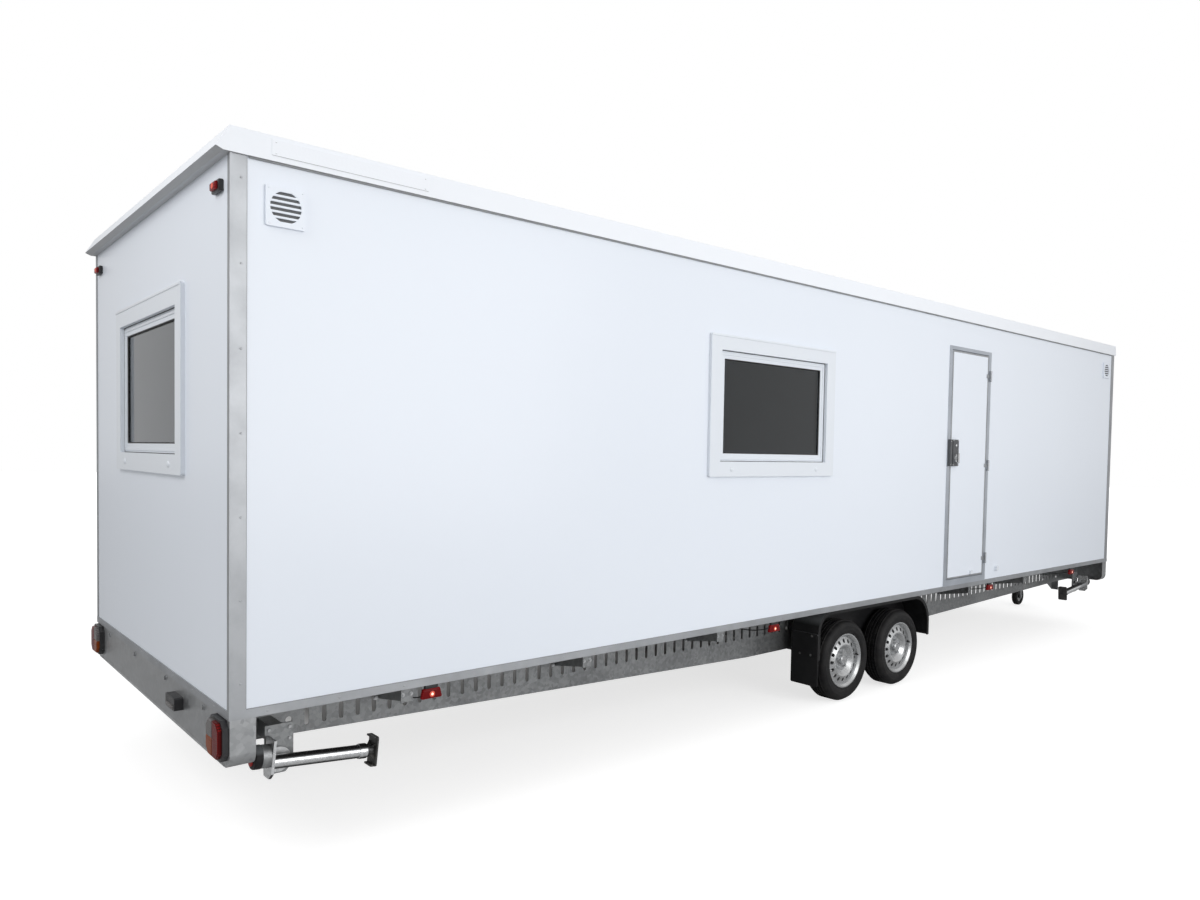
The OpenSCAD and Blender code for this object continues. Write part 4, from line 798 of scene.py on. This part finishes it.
window_white = gel_finish("window_white", (0.745, 0.785, 0.838), (0.725, 0.765, 0.818), 0.26, 0.36,
                          60.0, 0.00015)
seal_black = grained_finish("seal_black", (0.020, 0.020, 0.021), 0.55, 0.7, 800.0, 0.0002)
glass, tree, sockets = new_finish("window_glass", (0.36, 0.41, 0.46), 0.0)
sockets["Transmission Weight"].default_value = 1.0
sockets["IOR"].default_value = 1.45
smear = noise(tree, own_place(tree), 3.0, 5.0)
tree.links.new(rescale(tree, smear, 0.45, 0.8, 0.0, 0.05), sockets["Roughness"])
coat(window_white, "window_frames", "window_sashes")
coat(glass, "window_panes")
set_piece("glazing_gaskets", repeated(glazing_gaskets, WINDOWS), [seal_black], "cabin")
set_piece("window_fixing_caps", repeated(fixing_caps, WINDOWS), [window_white], "cabin")
set_piece("window_sash_beads", repeated(sash_beads, WINDOWS), [window_white], "cabin")
set_piece("window_room_handles", repeated(room_handle, WINDOWS), [window_white], "cabin")

# Door: a panel leaf with aluminium edging, in an aluminium frame with a rubber seal behind the leaf,
# on three lift-off hinges. A clip on the leaf snaps into a catch on the wall to hold it open.
LEAF = ((0.395, 0.793), (1.029, 2.720))
REBATE = ((0.390, 0.788), (1.034, 2.725))
DOOR_FACE_Y, SEAL_FACE_Y, SEAL_BACK_Y = -1.278, -1.2415, -1.2365
EDGING_W, SEAL_W = 0.014, 0.012
HINGE_X, HINGE_ZS = 1.074, (0.935, 1.7565, 2.543)
JAMB_XS, JAMB_RIVETS = (0.352, 1.073), 6
frame_silver = aluminium_finish("door_frame_silver", (0.55, 0.585, 0.635), (0.47, 0.505, 0.555), 0.38, 0.52)
coat(frame_silver, "door_frame")
coat(aluminium, "door_hinges", "door_hinge_straps")
coat(window_white, "door_clip", "wall_catch")


def strips_inside(bm, opening, width, front, back, edge, rounds):
    """Two strips up the sides of an opening, and two between them along its foot and head."""
    (x0, z0), (x1, z1) = opening
    for (low_x, low_z), (high_x, high_z) in (((x0, z0), (x0 + width, z1)),
                                             ((x1 - width, z0), (x1, z1)),
                                             ((x0 + width, z0), (x1 - width, z0 + width)),
                                             ((x0 + width, z1 - width), (x1 - width, z1))):
        block(bm, (low_x, front, low_z), (high_x, back, high_z), edge, rounds)


bm = bmesh.new()
strips_inside(bm, LEAF, EDGING_W, DOOR_FACE_Y - 0.0012, DOOR_FACE_Y + 0.001, 0.0005, 1)
set_piece("door_edging", bm, [aluminium], "door")
bm = bmesh.new()
strips_inside(bm, REBATE, SEAL_W, SEAL_FACE_Y, SEAL_BACK_Y, 0.002, 2)
set_piece("door_seal", bm, [seal_black], "cabin")
bm = bmesh.new()
for z in HINGE_ZS:
    for shift in (-0.032, 0.032):
        rivet(bm, (HINGE_X, DOOR_FACE_Y - 0.003, z + shift), (0, -1, 0), 0.0032, 0.0014)
for x in JAMB_XS:
    for i in range(JAMB_RIVETS):
        rivet(bm, (x, DOOR_FACE_Y, 0.875 + i * 0.345), (0, -1, 0), 0.0040, 0.0018)
set_piece("door_frame_rivets", bm, [aluminium], "cabin")

# Lock: a dark die-cast case on the leaf and its keep on the frame, with a key cylinder, and a bright
# T-handle that turns in a rose.
LOCK_FACE_Y = -1.300
CYLINDER_X, CYLINDER_Z = 0.452, 1.921
CYLINDER = [(0, 0.0052), (0.0085, 0.0052), (0.0110, 0.0046), (0.0125, 0.0030), (0.0125, -0.0010),
            (0, -0.0010)]
LOCK_SCREW_XS, LOCK_SCREW_ZS = (0.409, 0.486), (1.759, 1.963)
KEEP_SCREW_X, KEEP_SCREW_ZS = 0.372, (1.765, 1.957)
lock_grey = grained_finish("lock_grey", (0.070, 0.074, 0.080), 0.34, 0.5, 1100.0, 0.00015)
bright_metal = aluminium_finish("handle_bright", (0.72, 0.73, 0.74), (0.62, 0.63, 0.64), 0.14, 0.26)
coat(lock_grey, "door_lock", "door_strike")
coat(bright_metal, "door_handle")
bm = bmesh.new()
turned(bm, CYLINDER, 24)
bmesh.ops.transform(bm, matrix=facing((CYLINDER_X, LOCK_FACE_Y, CYLINDER_Z), (0, -1, 0)), verts=bm.verts)
block(bm, (CYLINDER_X - 0.0012, LOCK_FACE_Y - 0.0060, CYLINDER_Z - 0.005),
      (CYLINDER_X + 0.0012, LOCK_FACE_Y - 0.0048, CYLINDER_Z + 0.005), tint=1)
for x in LOCK_SCREW_XS:
    for z in LOCK_SCREW_ZS:
        rivet(bm, (x, LOCK_FACE_Y, z), (0, -1, 0), 0.0042, 0.0016)
set_piece("lock_cylinder", bm, [bright_metal, seal_black], "door")
bm = bmesh.new()
for z in KEEP_SCREW_ZS:
    rivet(bm, (KEEP_SCREW_X, LOCK_FACE_Y, z), (0, -1, 0), 0.0042, 0.0016)
set_piece("keep_screws", bm, [bright_metal], "cabin")

# Vents: white plastic plates with a round field of slots, screwed to the wall, with dark insect
# gauze at the back of the slots.
VENT_XS, VENT_Z, VENT_D, VENT_SLOTS = (-5.183, 3.743), 2.797, 0.130, 6
VENT_PLATE_T, VENT_SCREW_SHIFT = 0.012, 0.070
GAUZE_GAP, GAUZE_T, WIRES_PER_METRE = 0.0004, 0.0016, 120.0
VENTS = [Matrix.Translation((x, side * WALL_Y, VENT_Z)) @ Matrix.Diagonal((1, -side, 1, 1))
         for x in VENT_XS for side in (-1, 1)]


def vent_gauze(bm):
    """A strip of gauze behind each slot: a disc cut off above and below."""
    pitch = VENT_D / VENT_SLOTS
    radius = VENT_D / 2 - GAUZE_GAP
    for i in range(VENT_SLOTS):
        low = -VENT_D / 2 + (i + 0.2) * pitch
        high = low + 0.6 * pitch
        known = set(bm.verts)
        peg(bm, (0, -0.0028, 0), (0, -1, 0), radius, radius, GAUZE_T, 48)
        for level, side in ((low + GAUZE_GAP, -1), (high - GAUZE_GAP, 1)):
            strip = [v for v in bm.verts if v not in known]
            shape = (strip + list({e for v in strip for e in v.link_edges})
                     + list({f for v in strip for f in v.link_faces}))
            cut = bmesh.ops.bisect_plane(bm, geom=shape, plane_co=(0, 0, level), plane_no=(0, 0, side),
                                         clear_outer=True)["geom_cut"]
            bmesh.ops.edgeloop_fill(bm, edges=[e for e in cut if isinstance(e, bmesh.types.BMEdge)])


def vent_screws(bm):
    for u in (-VENT_SCREW_SHIFT, VENT_SCREW_SHIFT):
        for v in (-VENT_SCREW_SHIFT, VENT_SCREW_SHIFT):
            rivet(bm, (u, -VENT_PLATE_T, v), (0, -1, 0), 0.0040, 0.0016)


coat(panel_white, "vent_grilles")
gauze, tree, sockets = new_finish("insect_gauze", (0.10, 0.105, 0.11), 0.6)
bands = {"Vector": own_place(tree), "Scale": WIRES_PER_METRE}
warp = put(tree, "ShaderNodeTexWave", bands, bands_direction="X").outputs[1]
weft = put(tree, "ShaderNodeTexWave", bands, bands_direction="Z").outputs[1]
mesh_wire = reckon(tree, "MAXIMUM", warp, weft)
tree.links.new(blend_colours(tree, mesh_wire, (0.030, 0.031, 0.033, 1), (0.16, 0.165, 0.17, 1)),
               sockets["Base Color"])
emboss(tree, sockets, mesh_wire, 0.0003)
set_piece("vent_gauze", repeated(vent_gauze, VENTS), [gauze], "cabin")
set_piece("vent_screws", repeated(vent_screws, VENTS), [panel_white], "cabin")

# Studio: a pale floor that keeps the shadow and has a painted shadow strip under the beam, a white
# surround, a large soft lamp on the side of the door, a weak one behind, and the camera at the height of
# a person's eyes.
FLOOR_HALF = 60
PAINTED_SHADOW_STRIP = (("X", (-4.7, -4.2, 3.6, 4.2)), ("Y", (0.48, 0.64, 1.02, 1.20)))
LAMPS = (("side_lamp", 305, (7.0, 5.0), (-1.3, -8.8, 3.2), (-0.9, -1.275, 1.1)),
         ("rear_lamp", 94, (2.5, 2.5), (-8.8, -1.7, 4.9), (-5.4, -0.6, 1.7)))
scene = bpy.context.scene
bm = bmesh.new()
bmesh.ops.create_grid(bm, x_segments=1, y_segments=1, size=FLOOR_HALF)
mesh = bpy.data.meshes.new("studio_floor")
bm.to_mesh(mesh)
bm.free()
floor = bpy.data.objects.new("studio_floor", mesh)
scene.collection.objects.link(floor)
floor_white, tree, sockets = new_finish("studio_floor", (0.50, 0.50, 0.50), 0.9)
sockets["Specular IOR Level"].default_value = 0.0
sockets["Emission Color"].default_value = (1, 1, 1, 1)
spot = own_place(tree)
away = put(tree, "ShaderNodeVectorMath", {0: spot}, operation="LENGTH").outputs["Value"]
lift = rescale(tree, away, 7.0, 15.0, 0.72, 1.0)
across = put(tree, "ShaderNodeSeparateXYZ", {0: spot}).outputs
under = 1.0
# Painted shadow: in a strip under the left beam the floor gets no lift, so it stays dark.
for axis, (start, dark, still_dark, end) in PAINTED_SHADOW_STRIP:
    under = reckon(tree, "MULTIPLY", under, rescale(tree, across[axis], start, dark, 0.0, 1.0))
    under = reckon(tree, "MULTIPLY", under, rescale(tree, across[axis], still_dark, end, 1.0, 0.0))
lift = reckon(tree, "MULTIPLY", lift, reckon(tree, "SUBTRACT", 1.0, under))
seen = put(tree, "ShaderNodeLightPath").outputs["Is Camera Ray"]
tree.links.new(reckon(tree, "MULTIPLY", seen, lift), sockets["Emission Strength"])
floor.data.materials.append(floor_white)

scene.world = bpy.data.worlds.new("studio_surround")
scene.world.use_nodes = True
tree = scene.world.node_tree
way = put(tree, "ShaderNodeTexCoord").outputs["Generated"]
glow = rescale(tree, put(tree, "ShaderNodeSeparateXYZ", {0: way}).outputs["X"], -1.0, 0.6, 0.53, 0.82)
seen = put(tree, "ShaderNodeLightPath").outputs["Is Camera Ray"]
bright = reckon(tree, "ADD", reckon(tree, "MULTIPLY", glow, reckon(tree, "SUBTRACT", 1.0, seen)), seen)
tree.nodes["Background"].inputs["Color"].default_value = (1, 1, 1, 1)
tree.links.new(bright, tree.nodes["Background"].inputs["Strength"])

for name, watts, size, at, towards in LAMPS:
    lamp = bpy.data.lights.new(name, "AREA")
    lamp.shape = "RECTANGLE"
    lamp.size, lamp.size_y = size
    lamp.energy = watts
    stand = bpy.data.objects.new(name, lamp)
    stand.location = at
    stand.rotation_euler = (Vector(towards) - stand.location).to_track_quat("-Z", "Y").to_euler()
    scene.collection.objects.link(stand)

lens = bpy.data.cameras.new("camera")
lens.lens = 25.93
lens.sensor_width = 36
lens.shift_x = -0.00408
lens.shift_y = 0.02832
lens.clip_start, lens.clip_end = 0.1, 300
camera = bpy.data.objects.new("camera", lens)
camera.matrix_world = Matrix(((0.757597, 0.010609, -0.652637, -6.5230),
                              (-0.652509, 0.037913, -0.756832, -4.8791),
                              (0.016714, 0.999225, 0.035645, 1.8094),
                              (0, 0, 0, 1)))
scene.collection.objects.link(camera)
scene.camera = camera
scene.view_settings.view_transform = "Standard"
